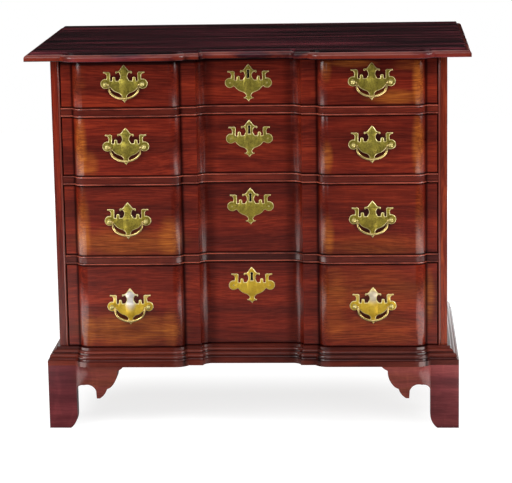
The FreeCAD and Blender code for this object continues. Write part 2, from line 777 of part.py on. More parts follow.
def make_drawer_box(n):
    """Sides, back and bottom of drawer n; returns the dovetails that meet its front."""
    length = val(DRAWER_LENGTH)
    thick = val("drawer_side_thick")
    face_y = val("front_depth")
    low = val(f"{DRAWER_LOW[n]} - drawer_gap + running_gap")
    high = val(f"{DRAWER_HIGH[n]} - drawer_side_drop")
    back_low = val(f"{DRAWER_LOW[n]} + panel_rise + panel_thick")
    back_high = high - val("drawer_back_drop")
    margin = val("pin_width") / 2
    front_tails = tails(val(DRAWER_LOW[n]) + margin, high - margin, face_y, face_y - val("tail_length"))
    back_tails = tails(back_low, back_high, length - thick, length)

    corners = [(face_y, low)]
    for tail in front_tails:
        corners += tail
    corners += [(face_y, high), (length, high), (length, back_high), (length - thick, back_high)]
    for tail in reversed(back_tails):
        corners += reversed(tail)
    corners += [(length - thick, back_low), (length, back_low), (length, low)]
    face = profile(f"side_{n}_profile", outline(corners, side_view))
    board = extrusion(f"side_{n}_board", face, Vector(1, 0, 0), "drawer_side_thick")
    place(board, DRAWER_INSIDE)
    groove = side_box(f"side_{n}_groove", 1, DRAWER_INSIDE, "(front_depth - tail_length)",
                      f"({DRAWER_LOW[n]} + panel_rise)", "groove_depth",
                      f"({DRAWER_LENGTH} - front_depth + tail_length)", "panel_thick")
    right = cut(f"side_{n}", board, groove)
    node(group(f"sides_{n}", right, mirrored(f"side_{n}_left", right)), f"drawer_{n}_sides")

    back = centred_box(f"back_{n}_board", f"({DRAWER_LENGTH} - drawer_side_thick)",
                       f"({DRAWER_LOW[n]} + panel_rise + panel_thick)", DRAWER_HALF,
                       "drawer_side_thick",
                       f"({DRAWER_HIGH[n]} - drawer_side_drop - drawer_back_drop"
                       f" - {DRAWER_LOW[n]} - panel_rise - panel_thick)")
    node(cut(f"back_{n}", back, tail_sockets(f"back_{n}_sockets", back_tails)), f"drawer_{n}_back")

    node(centred_box(f"panel_{n}", "(front_depth - groove_depth)", f"({DRAWER_LOW[n]} + panel_rise)",
                     f"({DRAWER_INSIDE} + groove_depth)",
                     f"({DRAWER_LENGTH} - front_depth + groove_depth)", "panel_thick"),
         f"drawer_{n}_bottom")
    return front_tails


# ---------------------------------------------------------------- brasses

def plate_outline():
    """Willow back plate: a finial, two horns, two round lobes and a pointed drop."""
    post = val("post_spacing") / 2
    tall = val("plate_height") / 2
    lobe = val("lobe_radius")

    def at(x, z):
        return (x * post, z * tall)

    def on_lobe(degrees):
        turn = math.radians(degrees)
        return (post + lobe * math.cos(turn), lobe * math.sin(turn))

    right = [
        # finial and its knob
        (at(0.12, 0.87), at(0.22, 0.735)),
        (at(0.305, 0.675), at(0.4, 0.67)),
        (at(0.445, 0.6), at(0.395, 0.53)),
        (at(0.315, 0.59), at(0.225, 0.52)),
        # hollow beside the finial's stem, and the prong in it
        (at(0.185, 0.38), at(0.25, 0.23)),
        (at(0.29, 0.17), at(0.36, 0.157)),
        at(0.45, 0.157),
        at(0.47, 0.335),
        (at(0.545, 0.365), at(0.62, 0.335)),
        at(0.635, 0.165),
        (at(0.69, 0.147), at(0.745, 0.17)),
        # horn
        at(0.735, 0.57),
        (at(0.785, 0.62), at(0.9, 0.625)),
        at(1.065, 0.635),
        (at(1.12, 0.595), at(1.07, 0.56)),
        (at(0.965, 0.51), at(0.925, 0.4)),
        # lobe under the post
        on_lobe(103),
        (on_lobe(0), on_lobe(-138)),
        # lower edge and drop
        at(0.735, -0.205),
        (at(0.58, -0.37), at(0.36, -0.476)),
        (at(0.22, -0.545), at(0.13, -0.665)),
        (at(0.17, -0.75), at(0.27, -0.765)),
        at(0.26, -0.825),
        (at(0.1, -0.876), at(0, -1)),
    ]

    def flip(point):
        return (-point[0], point[1])

    # the left half is the right one walked backwards
    ends = [at(0, 1)] + [item[1] if isinstance(item[0], tuple) else item for item in right]
    left = []
    for i in range(len(right) - 1, -1, -1):
        item = right[i]
        if isinstance(item[0], tuple):
            left.append((flip(item[0]), flip(ends[i])))
        else:
            left.append(flip(ends[i]))
    return outline([at(0, 1)] + right + left, front_view)


def post_profile():
    """Half section of a handle post, in front of and behind the face of its plate."""
    out = val("ball_out")
    ball = val("ball_radius")
    neck = val("neck_radius")
    collar = val("collar_radius")
    shank = val("shank_radius")
    joint = out - math.sqrt(ball ** 2 - neck ** 2)
    diagonal = math.sqrt(0.5) * ball
    inside = val("plate_thick + block_rise + front_depth + nut_thick + shank_past_nut")
    return outline([
        (0, -out - ball),
        ((diagonal, -out - diagonal), (ball, -out)),
        ((diagonal, -out + diagonal), (neck, -joint)),
        (neck, -val("collar_thick")),
        (collar, -val("collar_thick")),
        (collar, 0),
        (shank, 0),
        (shank, inside),
        (0, inside)], plan_view)


def bail_path():
    """Wire of a bail from pivot to pivot, all of it tangent, hanging from its pivot line."""
    half = val("bail_half")
    drop = val("bail_drop")
    straight = val("bail_straight")
    corner = val("bail_corner")
    neck = val("bail_neck")
    reach = drop - straight
    centre = half - corner
    belly = (centre ** 2 + reach ** 2 - corner ** 2) / (2 * (reach - corner))
    lean = math.atan2(centre, belly - reach)
    side = (half, -straight)
    turned = (centre + corner * math.sin(lean), -straight - corner * math.cos(lean))
    half_way = math.pi / 4 + lean / 2
    through = (centre + corner * math.sin(half_way), -straight - corner * math.cos(half_way))
    bend = (half + neck - neck * math.sqrt(0.5), -neck + neck * math.sqrt(0.5))
    start = (half + neck + val("bail_end"), 0)
    right = [start, (half + neck, 0), (half, -neck), side, turned]
    p = [front_view(*point) for point in right]
    m = [front_view(-point.x, point.z) for point in p]
    edges = [
        line(p[0], p[1]),
        arc(p[1], front_view(*bend), p[2]),
        line(p[2], p[3]),
        arc(p[3], front_view(*through), p[4]),
        arc(p[4], front_view(0, -drop), m[4]),
        arc(m[4], front_view(-through[0], through[1]), m[3]),
        line(m[3], m[2]),
        arc(m[2], front_view(-bend[0], bend[1]), m[1]),
        line(m[1], m[0]),
    ]
    return Part.Wire(edges)


def make_plates(n, plate):
    """Back plates of both handles and the keyhole plate between them."""
    middle = f"({DRAWER_HIGH[n]} - escutcheon_drop)"
    before = "(recess_depth - 2 * plate_thick)"
    keyed = extrusion(f"escutcheon_{n}_plate", plate, Vector(0, 1, 0), "plate_thick")
    place(keyed, "0", "(recess_depth - plate_thick)", middle)
    tools = keyhole_cutters(f"escutcheon_{n}_keyhole", n, before, "(3 * plate_thick)")
    for word, end in (("left", -1), ("right", 1)):
        tools.append(rod(f"escutcheon_{n}_hole_{word}", "(pin_radius / 2)", "(3 * plate_thick)",
                         post_x(0, end), before, middle))
    plates = [cut(f"escutcheon_{n}", keyed, *tools)]
    for word, side in (("left", -1), ("right", 1)):
        name = f"backplate_{n}_{word}"
        blank = extrusion(name + "_blank", plate, Vector(0, 1, 0), "plate_thick")
        place(blank, f"({side} * {HANDLE_X})", PLATE_FACE, handle_height(n))
        holes = [rod(f"{name}_hole_{i}", "shank_radius", "(3 * plate_thick)", post_x(side, end),
                     f"({PLATE_FACE} - plate_thick)", handle_height(n))
                 for i, end in enumerate((-1, 1))]
        plates.append(cut(name, blank, *holes))
    node(group(f"plates_{n}", *plates), f"drawer_{n}_plates")


def make_posts(n, post):
    """Posts and nuts of both handles, and the two pins of the keyhole plate."""
    z = handle_height(n)
    fasteners = []
    for tag, side, end in post_places():
        x = post_x(side, end)
        turned = doc.addObject("Part::Revolution", f"post_{n}_{tag}_turned")
        turned.Source = post
        turned.Axis = Vector(0, 1, 0)
        turned.Angle = 360
        turned.Solid = True
        place(turned, x, PLATE_FACE, z)
        bore = doc.addObject("Part::Cylinder", f"post_{n}_{tag}_bore")
        bind(bore, "Radius", "pivot_radius + pivot_clearance")
        bind(bore, "Height", "bail_neck + bail_end + pivot_length + running_gap")
        place(bore, f"({side} * {HANDLE_X} + {end} * bail_half)", PIVOT_Y, z,
              Rotation(Vector(0, 1, 0), 90 * end))
        fasteners.append(cut(f"post_{n}_{tag}", turned, bore))
        nut = box(f"nut_{n}_{tag}_blank", f"({x} - nut_size / 2)", "front_depth",
                  f"({z} - nut_size / 2)", "nut_size", "nut_thick", "nut_size")
        thread = rod(f"nut_{n}_{tag}_thread", "shank_radius", "(3 * nut_thick)", x,
                     "(front_depth - nut_thick)", z)
        fasteners.append(cut(f"nut_{n}_{tag}", nut, thread))
    middle = f"({DRAWER_HIGH[n]} - escutcheon_drop)"
    for word, end in (("left", -1), ("right", 1)):
        shaft = rod(f"pin_{n}_{word}_shaft", "(pin_radius / 2)", "(pin_length + plate_thick)",
                    post_x(0, end), "(recess_depth - plate_thick)", middle)
        head = rod(f"pin_{n}_{word}_head", "pin_radius", "(pin_radius / 2)", post_x(0, end),
                   "(recess_depth - plate_thick - pin_radius / 2)", middle)
        fasteners.append(fuse(f"pin_{n}_{word}", shaft, head))
    node(group(f"posts_{n}", *fasteners), f"drawer_{n}_posts")


def make_bails(n, path):
    """The two bails of drawer n, each with a pivot at both ends."""
    start = "(bail_half + bail_neck + bail_end)"
    overlap = 1
    for word, side in (("left", -1), ("right", 1)):
        name = f"bail_{n}_{word}"
        ring = doc.addObject("Part::Circle", name + "_section")
        bind(ring, "Radius", "bail_radius")
        bind(ring, "Placement.Base.x", start)
        ring.Placement.Rotation = Rotation(Vector(0, 1, 0), 90)
        swept = doc.addObject("Part::Sweep", name + "_rod")
        swept.Sections = [ring]
        swept.Spine = (path, [f"Edge{i + 1}" for i in range(len(path.Shape.Edges))])
        swept.Solid = True
        place(swept, f"({side} * {HANDLE_X})", PIVOT_Y, handle_height(n))
        pivots = []
        for i, end in enumerate((-1, 1)):
            pivot = doc.addObject("Part::Cylinder", f"{name}_pivot_{i}")
            bind(pivot, "Radius", "pivot_radius")
            bind(pivot, "Height", f"pivot_length + {overlap}")
            place(pivot, f"({side} * {HANDLE_X} + {end} * ({start} - {overlap}))", PIVOT_Y,
                  handle_height(n), Rotation(Vector(0, 1, 0), 90 * end))
            pivots.append(pivot)
        node(fuse(name, swept, *pivots), f"drawer_{n}_bail_{word}")


def make_lock(n):
    """Lock of drawer n, let into its front, and the bolt that rises out of it."""
    high = DRAWER_HIGH[n]
    lock_y = "(front_depth - lock_depth)"
    wide = "(lock_width / 2 + lock_ear)"
    case = centred_box(f"lock_{n}_case", lock_y, f"({high} - lock_height)", "(lock_width / 2)",
                       "lock_depth", "lock_height")
    back = centred_box(f"lock_{n}_back", "front_depth", f"({high} - lock_height)", wide,
                       "lock_plate_thick", "lock_height")
    selvedge = centred_box(f"lock_{n}_selvedge", lock_y, f"({high} - lock_plate_thick)", wide,
                           "(lock_depth + lock_plate_thick)", "lock_plate_thick")
    bolt_y = f"({lock_y} + lock_wall)"
    channel_low = f"({high} - bolt_height - 2 * running_gap)"
    channel = centred_box(f"lock_{n}_channel", f"({bolt_y} - bolt_clearance)", channel_low,
                          "(bolt_width / 2 + bolt_clearance)", "(bolt_thick + 2 * bolt_clearance)",
                          "(bolt_height + 3 * running_gap)")
    whole = fuse(f"lock_{n}_whole", case, back, selvedge)
    keyhole = keyhole_cutters(f"lock_{n}_keyhole", n, f"({lock_y} - lock_wall)", "(2 * lock_wall)")
    node(cut(f"lock_{n}", whole, channel, *keyhole), f"drawer_{n}_lock")
    node(centred_box(f"bolt_{n}", bolt_y, f"({high} - bolt_height - running_gap)",
                     "(bolt_width / 2)", "bolt_thick", "bolt_height"), f"drawer_{n}_lock_bolt")


# ---------------------------------------------------------------- build

def build():
    make_top_board()
    make_sides()
    make_side_beads()
    make_back_boards()
    make_bottom_board()
    make_rails()
    make_runners()
    make_stops()
    make_base_mouldings()
    make_feet()

    depth = val("front_depth")
    half = val(DRAWER_HALF)
    front_profile = profile("front_profile", front_section(0, half, [(half, depth), (-half, depth)]))
    plate = profile("plate_profile", plate_outline())
    post = profile("post_profile", post_profile())
    path = doc.addObject("Part::Feature", "bail_path")
    path.Shape = bail_path()
    for n in DRAWERS:
        front_tails = make_drawer_box(n)
        make_drawer_front(n, front_profile, front_tails)
        make_lock(n)
        make_plates(n, plate)
        make_posts(n, post)
        make_bails(n, path)


def check():
    """Stops if an object failed or a piece is not a sound solid."""
    for obj in doc.Objects:
        if "Invalid" in obj.State or "Error" in obj.State:
            raise RuntimeError(f"{obj.Name} failed: {obj.State}")
    for obj in NODES:
        shape = obj.Shape
        if shape.isNull() or not shape.isValid() or not shape.Solids:
            raise RuntimeError(f"{obj.Label} is not a valid solid")


build()
doc.recompute()
check()
os.makedirs("parts", exist_ok=True)
for piece in NODES:
    piece.Shape.exportStep(f"parts/{piece.Label}.step")
    print(f"{piece.Label}: {len(piece.Shape.Solids)} solid(s), {piece.Shape.Volume / 1000:.1f} cm3")
print(len(NODES), "nodes")
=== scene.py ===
import json
import math

import bmesh
import bpy
from mathutils import Matrix, Vector


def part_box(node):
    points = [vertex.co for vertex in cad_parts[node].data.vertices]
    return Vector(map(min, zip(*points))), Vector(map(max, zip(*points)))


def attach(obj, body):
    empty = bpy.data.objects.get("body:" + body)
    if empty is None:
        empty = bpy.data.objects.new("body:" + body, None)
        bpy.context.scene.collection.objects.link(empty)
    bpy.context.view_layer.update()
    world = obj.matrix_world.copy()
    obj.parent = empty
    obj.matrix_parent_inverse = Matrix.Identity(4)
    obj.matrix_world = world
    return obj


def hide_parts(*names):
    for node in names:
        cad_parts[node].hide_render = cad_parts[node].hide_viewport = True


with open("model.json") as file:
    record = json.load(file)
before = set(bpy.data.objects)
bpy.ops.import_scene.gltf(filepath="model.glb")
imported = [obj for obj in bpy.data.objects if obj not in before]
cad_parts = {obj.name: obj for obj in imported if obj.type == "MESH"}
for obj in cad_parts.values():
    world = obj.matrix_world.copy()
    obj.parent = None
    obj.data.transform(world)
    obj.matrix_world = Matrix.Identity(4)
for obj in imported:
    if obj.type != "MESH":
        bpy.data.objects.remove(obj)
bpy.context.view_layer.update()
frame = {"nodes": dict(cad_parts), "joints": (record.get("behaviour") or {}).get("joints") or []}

# The looks of the block front chest: camera, studio, finishes, and the pieces whose shape is
# finer than the solids. Metres; x right, y back, z up; the front looks along -y.

NODES = frame["nodes"]
JOINTS = {joint["name"]: joint for joint in frame["joints"]}
DRAWERS = (1, 2, 3, 4)
RAILS = ("top_rail", "divider_upper", "divider_middle", "divider_lower")

# ---------------------------------------------------------------- places read from the frame

FRONT_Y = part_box("side_left")[0][1]
REAR_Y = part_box("side_left")[1][1]
HALF_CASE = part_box("side_right")[1][0]
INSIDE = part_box("side_right")[0][0]
TOP_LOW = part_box("top_board")[0][2]
TOP_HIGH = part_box("top_board")[1][2]
BASE_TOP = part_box("base_moulding_front")[1][2]
BASE_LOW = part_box("base_moulding_front")[0][2]

# the block front in plan; the spreads shift its corners for each metre of a moulding's projection
RECESS_HALF = 0.088
RECESS_DEPTH = 0.018
COVE_WIDTH = 0.022
INNER_FLAT = 0.0326
OUTER_FLAT = 0.0251
CREASE_INNER = RECESS_HALF + COVE_WIDTH + INNER_FLAT
CREASE_OUTER = INSIDE - OUTER_FLAT
CURVE_WIDTH = 0.0224
BLOCK_RISE = 0.016
CREASE_SPREAD = 0.35
COVE_SPREAD = 0.25
PLANE_SPREAD = 0.1
CURVE_STEPS = 10

# ---------------------------------------------------------------- camera

# found by fitting the chest's corners, with the middle of the view a little off the picture's
IMAGE_WIDTH = 512
IMAGE_HEIGHT = 483
SENSOR = 0.036
CAMERA_PLACE = Vector((0.2669, -4.6912, 1.3270))
CAMERA_TILT = -0.1987
CAMERA_TURN = 0.0672
CAMERA_ROLL = 0.0191
FOCAL_PIXELS = 2172.3
CENTRE_PIXEL = (234.1, 231.6)
CLIP_END = 60


def make_camera():
    data = bpy.data.cameras.new("camera")
    data.sensor_width = SENSOR * 1000
    data.lens = FOCAL_PIXELS / IMAGE_WIDTH * SENSOR * 1000
    data.shift_x = (IMAGE_WIDTH / 2 - CENTRE_PIXEL[0]) / IMAGE_WIDTH
    data.shift_y = (CENTRE_PIXEL[1] - IMAGE_HEIGHT / 2) / IMAGE_WIDTH
    data.clip_end = CLIP_END
    camera = bpy.data.objects.new("camera", data)
    bpy.context.scene.collection.objects.link(camera)
    turn = (Matrix.Rotation(CAMERA_TURN, 4, "Z") @ Matrix.Rotation(CAMERA_TILT, 4, "X")
            @ Matrix.Rotation(CAMERA_ROLL, 4, "Y") @ Matrix.Rotation(math.pi / 2, 4, "X"))
    camera.matrix_world = Matrix.Translation(CAMERA_PLACE) @ turn
    bpy.context.scene.camera = camera


# ---------------------------------------------------------------- shader helpers

class Shader:
    """A material's node tree, built from short calls."""

    def __init__(self, name):
        self.material = bpy.data.materials.new(name)
        self.material.use_nodes = True
        self.tree = self.material.node_tree
        self.tree.nodes.clear()
        self.output = self.tree.nodes.new("ShaderNodeOutputMaterial")

    def add(self, kind, inputs=None, **settings):
        """New node; inputs maps a socket's name or number to a value or to another socket."""
        made = self.tree.nodes.new(kind)
        for key, value in settings.items():
            setattr(made, key, value)
        for key, value in (inputs or {}).items():
            if isinstance(value, bpy.types.NodeSocket):
                self.tree.links.new(value, made.inputs[key])
            else:
                made.inputs[key].default_value = value
        return made

    def math(self, operation, first, second=0.0, third=0.0):
        made = self.add("ShaderNodeMath", {0: first, 1: second, 2: third}, operation=operation)
        return made.outputs[0]

    def times(self, first, second):
        return self.math("MULTIPLY", first, second)

    def apart(self, value, middle):
        """How far a value is from a middle one, without its sign."""
        return self.math("ABSOLUTE", self.math("SUBTRACT", value, middle))

    def length(self, vector):
        return self.add("ShaderNodeVectorMath", {0: vector}, operation="LENGTH").outputs["Value"]

    def smooth(self, value, low, high):
        """0 below low and 1 above high, with a soft step between; low may be above high."""
        made = self.add("ShaderNodeMapRange", {"Value": value, "From Min": low, "From Max": high},
                        interpolation_type="SMOOTHSTEP")
        return made.outputs["Result"]

    def mix(self, factor, first, second, blend="MIX"):
        made = self.add("ShaderNodeMix", {0: factor, 6: first, 7: second}, data_type="RGBA",
                        blend_type=blend)
        return made.outputs[2]

    def mapped(self, vector, scale, offset=(0, 0, 0)):
        made = self.add("ShaderNodeMapping", {"Vector": vector, "Scale": scale, "Location": offset})
        return made.outputs["Vector"]

    def noise(self, vector, detail=3.0, roughness=0.5, distortion=0.0):
        made = self.add("ShaderNodeTexNoise", {"Vector": vector, "Scale": 1.0, "Detail": detail,
                                               "Roughness": roughness, "Distortion": distortion})
        return made.outputs["Fac"]

    def parts(self, vector):
        return self.add("ShaderNodeSeparateXYZ", {0: vector}).outputs

    def place(self):
        return self.add("ShaderNodeTexCoord").outputs["Object"]

    def surface(self, socket):
        self.tree.links.new(socket, self.output.inputs["Surface"])
        return self.material

    def finish(self, height, strength, distance, sockets):
        """The material: a principled surface with these sockets and a bump from a height."""
        bump = self.add("ShaderNodeBump",
                        {"Strength": strength, "Distance": distance, "Height": height})
        made = self.add("ShaderNodeBsdfPrincipled", {**sockets, "Normal": bump.outputs["Normal"]})
        return self.surface(made.outputs["BSDF"])


def screen(red, green, blue):
    """Colour from its 0-255 values on a screen."""
    def linear(value):
        share = value / 255
        return share / 12.92 if share < 0.04045 else ((share + 0.055) / 1.055) ** 2.4
    return (linear(red), linear(green), linear(blue), 1.0)


def grey(level):
    return (level, level, level, 1.0)


# ---------------------------------------------------------------- wood

GRAIN_TURN = {
    "x": (0.0, 0.0, 0.0),
    "y": (0.0, 0.0, math.pi / 2),
    "z": (0.0, math.pi / 2, 0.0),
}

# dark, middle and light tone of the polished mahogany
RED = (screen(86, 23, 13), screen(108, 30, 16), screen(126, 39, 19))
WARM = (screen(94, 31, 18), screen(118, 42, 22), screen(136, 56, 28))
RAIL = (screen(84, 29, 21), screen(102, 36, 25), screen(118, 44, 29))
DIM_RAIL = (screen(64, 23, 19), screen(80, 30, 23), screen(96, 37, 27))
DEEP = (screen(54, 18, 15), screen(76, 25, 18), screen(96, 34, 22))
PURPLE = (screen(74, 26, 32), screen(96, 36, 41), screen(114, 46, 50))
ROSE = (screen(82, 33, 36), screen(106, 45, 48), screen(122, 56, 56))
# the top's near-black tones: a painted dark reflection on its polished face
BLACKISH = (screen(20, 10, 12), screen(66, 26, 34), screen(118, 50, 58))
# the top rail's near-black tones: painted shadow under the top's overhang
SHADED = (screen(12, 7, 7), screen(18, 9, 9), screen(26, 12, 11))
# golden tone of faded wood and of painted side light on the blocks' round ends
GOLD = screen(176, 98, 34)
# rubbed tones of edges, beads and the top's nosing, which also stand for a painted highlight
WORN_SHEEN = screen(150, 70, 52)
RUBBED_BEAD_SHEEN = screen(106, 48, 38)
RUBBED_TOP_SHEEN = screen(116, 41, 26)
# painted glare on the lowest drawer's plates
BRASS_GLARE = screen(214, 208, 200)

# tints that multiply the colour under them
# darkens for grime and for painted shade
GRIME_AND_SHADE = (0.2, 0.14, 0.18, 1.0)
STREAK_TINT = (0.48, 0.40, 0.42, 1.0)
FINE_DARK = (0.62, 0.52, 0.54, 1.0)
FINE_LIGHT = (1.22, 1.4, 1.3, 1.0)
RIPPLE_TINT = (1.5, 1.65, 1.5, 1.0)
PORE_TINT = (0.35, 0.25, 0.25, 1.0)

# figure of the mahogany: scale along and across the grain, detail, roughness, distortion
FIGURES = {
    "broad": (1.6, 24.0, 5.0, 0.6, 0.0),
    "streak": (4.0, 150.0, 4.0, 0.65, 0.0),
    "fine": (18.0, 400.0, 3.0, 0.6, 0.0),
    "pores": (85.0, 1500.0, 2.0, 0.6, 0.0),
    "ripple": (42.0, 11.0, 3.0, 0.55, 0.8),
}

# how far from its line each mask of the block front ends, and where it is full
CREASE_INNER_SHADE_AND_GRIME = (0.0065, 0.0)
CREASE_OUTER_SHADE_AND_GRIME = (0.0055, 0.0)
RECESS_SHADE_AND_GRIME = (0.022, 0.002)
CORNER_POLISH = (0.014, 0.007)

# how far from its crease the middle of a block's round end is
CORNER_MIDDLE = 0.012

# how far inside a drawer front's edge the painted shade of the gap starts, and where it is full
EDGE_SHADE_START = 0.0032
EDGE_SHADE_FULL = 0.0004

# the share of the coat that is gone under the painted shade and grime of creases and edges
MATT_SHARE = 0.85


def grain_space(shader, place, grain, seed):
    """Texture space in metres whose x runs along the grain of one board, a little wavy."""
    turned = shader.add("ShaderNodeMapping", {"Vector": place, "Rotation": GRAIN_TURN[grain],
                                              "Location": (seed * 1.7, seed * 0.9, seed * 2.3)})
    space = turned.outputs["Vector"]
    sway = shader.times(shader.noise(shader.mapped(space, (2.6, 6.0, 6.0)), 2.0), 0.04)
    shift = shader.add("ShaderNodeCombineXYZ", {1: sway, 2: sway}).outputs[0]
    return shader.add("ShaderNodeVectorMath", {0: space, 1: shift}, operation="ADD").outputs[0]


def patch_mask(shader, place, wavy, patches):
    """Soft golden patches, of faded wood and of painted side light: middle x and z, half width and
    height, strength.
    """
    ragged = shader.noise(shader.mapped(wavy, (9.0, 60.0, 60.0)), 4.0, 0.6)
    total = 0.0
    for x, z, half_width, half_height, strength in patches:
        scale = (1 / half_width, 0.0, 1 / half_height)
        near = shader.mapped(place, scale, (-x / half_width, 0.0, -z / half_height))
        blob = shader.smooth(shader.length(near), 1.25, 0.35)
        total = shader.math("MULTIPLY_ADD", blob, strength, total)
    cloud = shader.smooth(ragged, 0.28, 0.62)
    return shader.times(total, shader.math("MULTIPLY_ADD", cloud, 0.6, 0.4))


def crease_shade_and_grime_mask(shader, place):
    """Painted shade, with grime, in the inside corners and along the recess."""
    across = shader.math("ABSOLUTE", shader.parts(place)[0])
    inner = shader.smooth(shader.apart(across, CREASE_INNER), *CREASE_INNER_SHADE_AND_GRIME)
    outer = shader.smooth(shader.apart(across, CREASE_OUTER), *CREASE_OUTER_SHADE_AND_GRIME)
    cove = shader.smooth(shader.apart(across, RECESS_HALF), *RECESS_SHADE_AND_GRIME)
    return shader.math("MAXIMUM", shader.times(cove, 0.5), shader.math("MAXIMUM", inner, outer))


def corner_mask(shader, place):
    """1 on the round ends of the blocks and on the coves, where hands keep the wood polished."""
    across = shader.math("ABSOLUTE", shader.parts(place)[0])
    total = 0.0
    for middle in (RECESS_HALF + COVE_WIDTH / 2, CREASE_INNER + CORNER_MIDDLE,
                   CREASE_OUTER - CORNER_MIDDLE):
        near = shader.smooth(shader.apart(across, middle), *CORNER_POLISH)
        total = shader.math("MAXIMUM", total, near)
    return total


def edge_shade_mask(shader, place, low, high):
    """Painted shade along the upper and the lower edge of a drawer front, by the gaps."""
    half = (high - low) / 2
    off = shader.apart(shader.parts(place)[2], (low + high) / 2)
    return shader.smooth(off, half - EDGE_SHADE_START, half - EDGE_SHADE_FULL)


def crown_sheen_mask(shader, place):
    """1 on the crown of a bead that stands before the drawer faces and 0 in its quirks; the crown takes
    a rubbed colour with a painted highlight.
    """
    return shader.smooth(shader.parts(place)[1], FRONT_Y - 0.0004, FRONT_Y - BEAD_PROUD * 0.85)


def oval_mask(shader, place, spots, core=0.8):
    """Soft oval spots: middle, half lengths along x, y and z, strength."""
    total = 0.0
    for middle, half, strength in spots:
        near = shader.mapped(place, tuple(1 / length for length in half),
                             tuple(-at / length for at, length in zip(middle, half)))
        blob = shader.smooth(shader.length(near), 1.15, core)
        total = shader.math("MULTIPLY_ADD", blob, strength, total)
    return total


def figured_tone(shader, figures, tones, gold, lines, figure):
    """Colour of mahogany before grime: broad bands, faded patches with painted side light, streaks, fine
    lines and ripple.
    """
    dark, middle, light = tones
    tone = shader.mix(shader.smooth(figures["broad"], 0.38, 0.56), dark, middle)
    tone = shader.mix(shader.smooth(figures["broad"], 0.5, 0.68), tone, light)
    if gold is not None:
        tone = shader.mix(gold, tone, GOLD)
    for kind, low, high, strength, tint in (("streak", 0.48, 0.72, 0.5 * lines, STREAK_TINT),
                                            ("fine", 0.4, 0.66, lines, FINE_DARK),
                                            ("fine", 0.5, 0.3, lines, FINE_LIGHT),
                                            ("ripple", 0.48, 0.74, figure, RIPPLE_TINT)):
        mask = shader.times(shader.smooth(figures[kind], low, high), strength)
        tone = shader.mix(mask, tone, tint, "MULTIPLY")
    return tone


def rubbed_sheen_mask(shader, wavy, wear):
    """1 where an edge is bright, in broken patches: rubbed wear with a painted highlight."""
    ragged = shader.noise(shader.mapped(wavy, (14.0, 30.0, 30.0)), 4.0, 0.6)
    return shader.times(shader.smooth(wear, 0.5, 1.0), shader.smooth(ragged, 0.3, 0.6))


def mahogany(name, grain, seed, tones, patches=(), creases=False, worn_and_shaded=False, edges=None,
             crown=None, dark_spots=(), gloss=0.3, figure=0.25, coat=0.6, lines=1.0, glow=0.2,
             wear_and_sheen_tone=WORN_SHEEN, corners=False, polish=0.0):
    """Old polished mahogany.

    patches are golden places, faded wood and painted side light, and the dark spots are darker places,
    some of them painted shadow. creases paints shade with grime into the block front's lines and corners
    polishes the round ends and coves, edges paints shade between two heights, crown is the colour of a
    bead's crown with a painted highlight, and the wear setting reads the mesh's wear, whose bright parts
    take the rubbed colour, rubbed wear with a painted highlight, and the coat polish, and whose low
    parts take painted shade with grime.
    """
    shader = Shader(name)
    place = shader.place()
    wavy = grain_space(shader, place, grain, seed)
    figures = {kind: shader.noise(shader.mapped(wavy, (along, across, across)), *detail)
               for kind, (along, across, *detail) in FIGURES.items()}
    gold = patch_mask(shader, place, wavy, patches) if patches else None
    tone = figured_tone(shader, figures, tones, gold, lines, figure)
    pores = shader.smooth(figures["pores"], 0.62, 0.7)
    tone = shader.mix(shader.times(pores, 0.55), tone, PORE_TINT, "MULTIPLY")

    weight = coat
    if corners:
        weight = shader.math("MULTIPLY_ADD", corner_mask(shader, place), 1 - coat, coat)
    matt = 0.0
    # painted shade with grime in the creases and along the recess, which also dulls the coat
    if creases:
        matt = crease_shade_and_grime_mask(shader, place)
        tone = shader.mix(matt, tone, GRIME_AND_SHADE, "MULTIPLY")
    # painted shade of the gaps along the drawer front's upper and lower edge
    if edges:
        line = edge_shade_mask(shader, place, *edges)
        tone = shader.mix(line, tone, GRIME_AND_SHADE, "MULTIPLY")
        matt = shader.math("MAXIMUM", matt, line)
    # a bead: painted shade all over it, then its crown's colour with a painted highlight
    if crown:
        shaded_tone = shader.mix(1.0, tone, GRIME_AND_SHADE, "MULTIPLY")
        tone = shader.mix(crown_sheen_mask(shader, place), shaded_tone, crown)
    # rubbed wear with a painted highlight where the wear is high, painted shade with grime where it is
    # low
    if worn_and_shaded:
        wear = shader.add("ShaderNodeAttribute", attribute_name="wear").outputs["Fac"]
        shiny = rubbed_sheen_mask(shader, wavy, wear)
        tone = shader.mix(shiny, tone, wear_and_sheen_tone)
        tone = shader.mix(shader.smooth(wear, 0.5, 0.0), tone, GRIME_AND_SHADE, "MULTIPLY")
        if polish:
            weight = shader.math("MAXIMUM", weight, shader.times(shiny, polish))
    # darker places, with painted shadow under the top and round the handles
    if dark_spots:
        tone = shader.mix(oval_mask(shader, place, dark_spots), tone, GRIME_AND_SHADE, "MULTIPLY")
    if creases or edges:
        weight = shader.times(weight, shader.math("MULTIPLY_ADD", matt, -MATT_SHARE, 1.0))

    relief = shader.math("MULTIPLY_ADD", pores, -0.6, shader.times(figures["streak"], 0.4))
    rough = shader.math("MULTIPLY_ADD", figures["broad"], 0.16, gloss - 0.08)
    return shader.finish(relief, 0.05, 0.0004, {
        "Base Color": tone, "Roughness": rough, "Specular IOR Level": 0.08,
        "Coat Weight": weight, "Coat Roughness": glow, "Coat IOR": 1.45})


YEAR_RING = 0.0105
PINE_LIGHT = screen(198, 156, 108)
PINE_RING = screen(176, 131, 87)
PINE_FINE = screen(150, 110, 76)
PINE_STAIN = screen(132, 98, 70)
JOINT_GAP = screen(30, 20, 14)


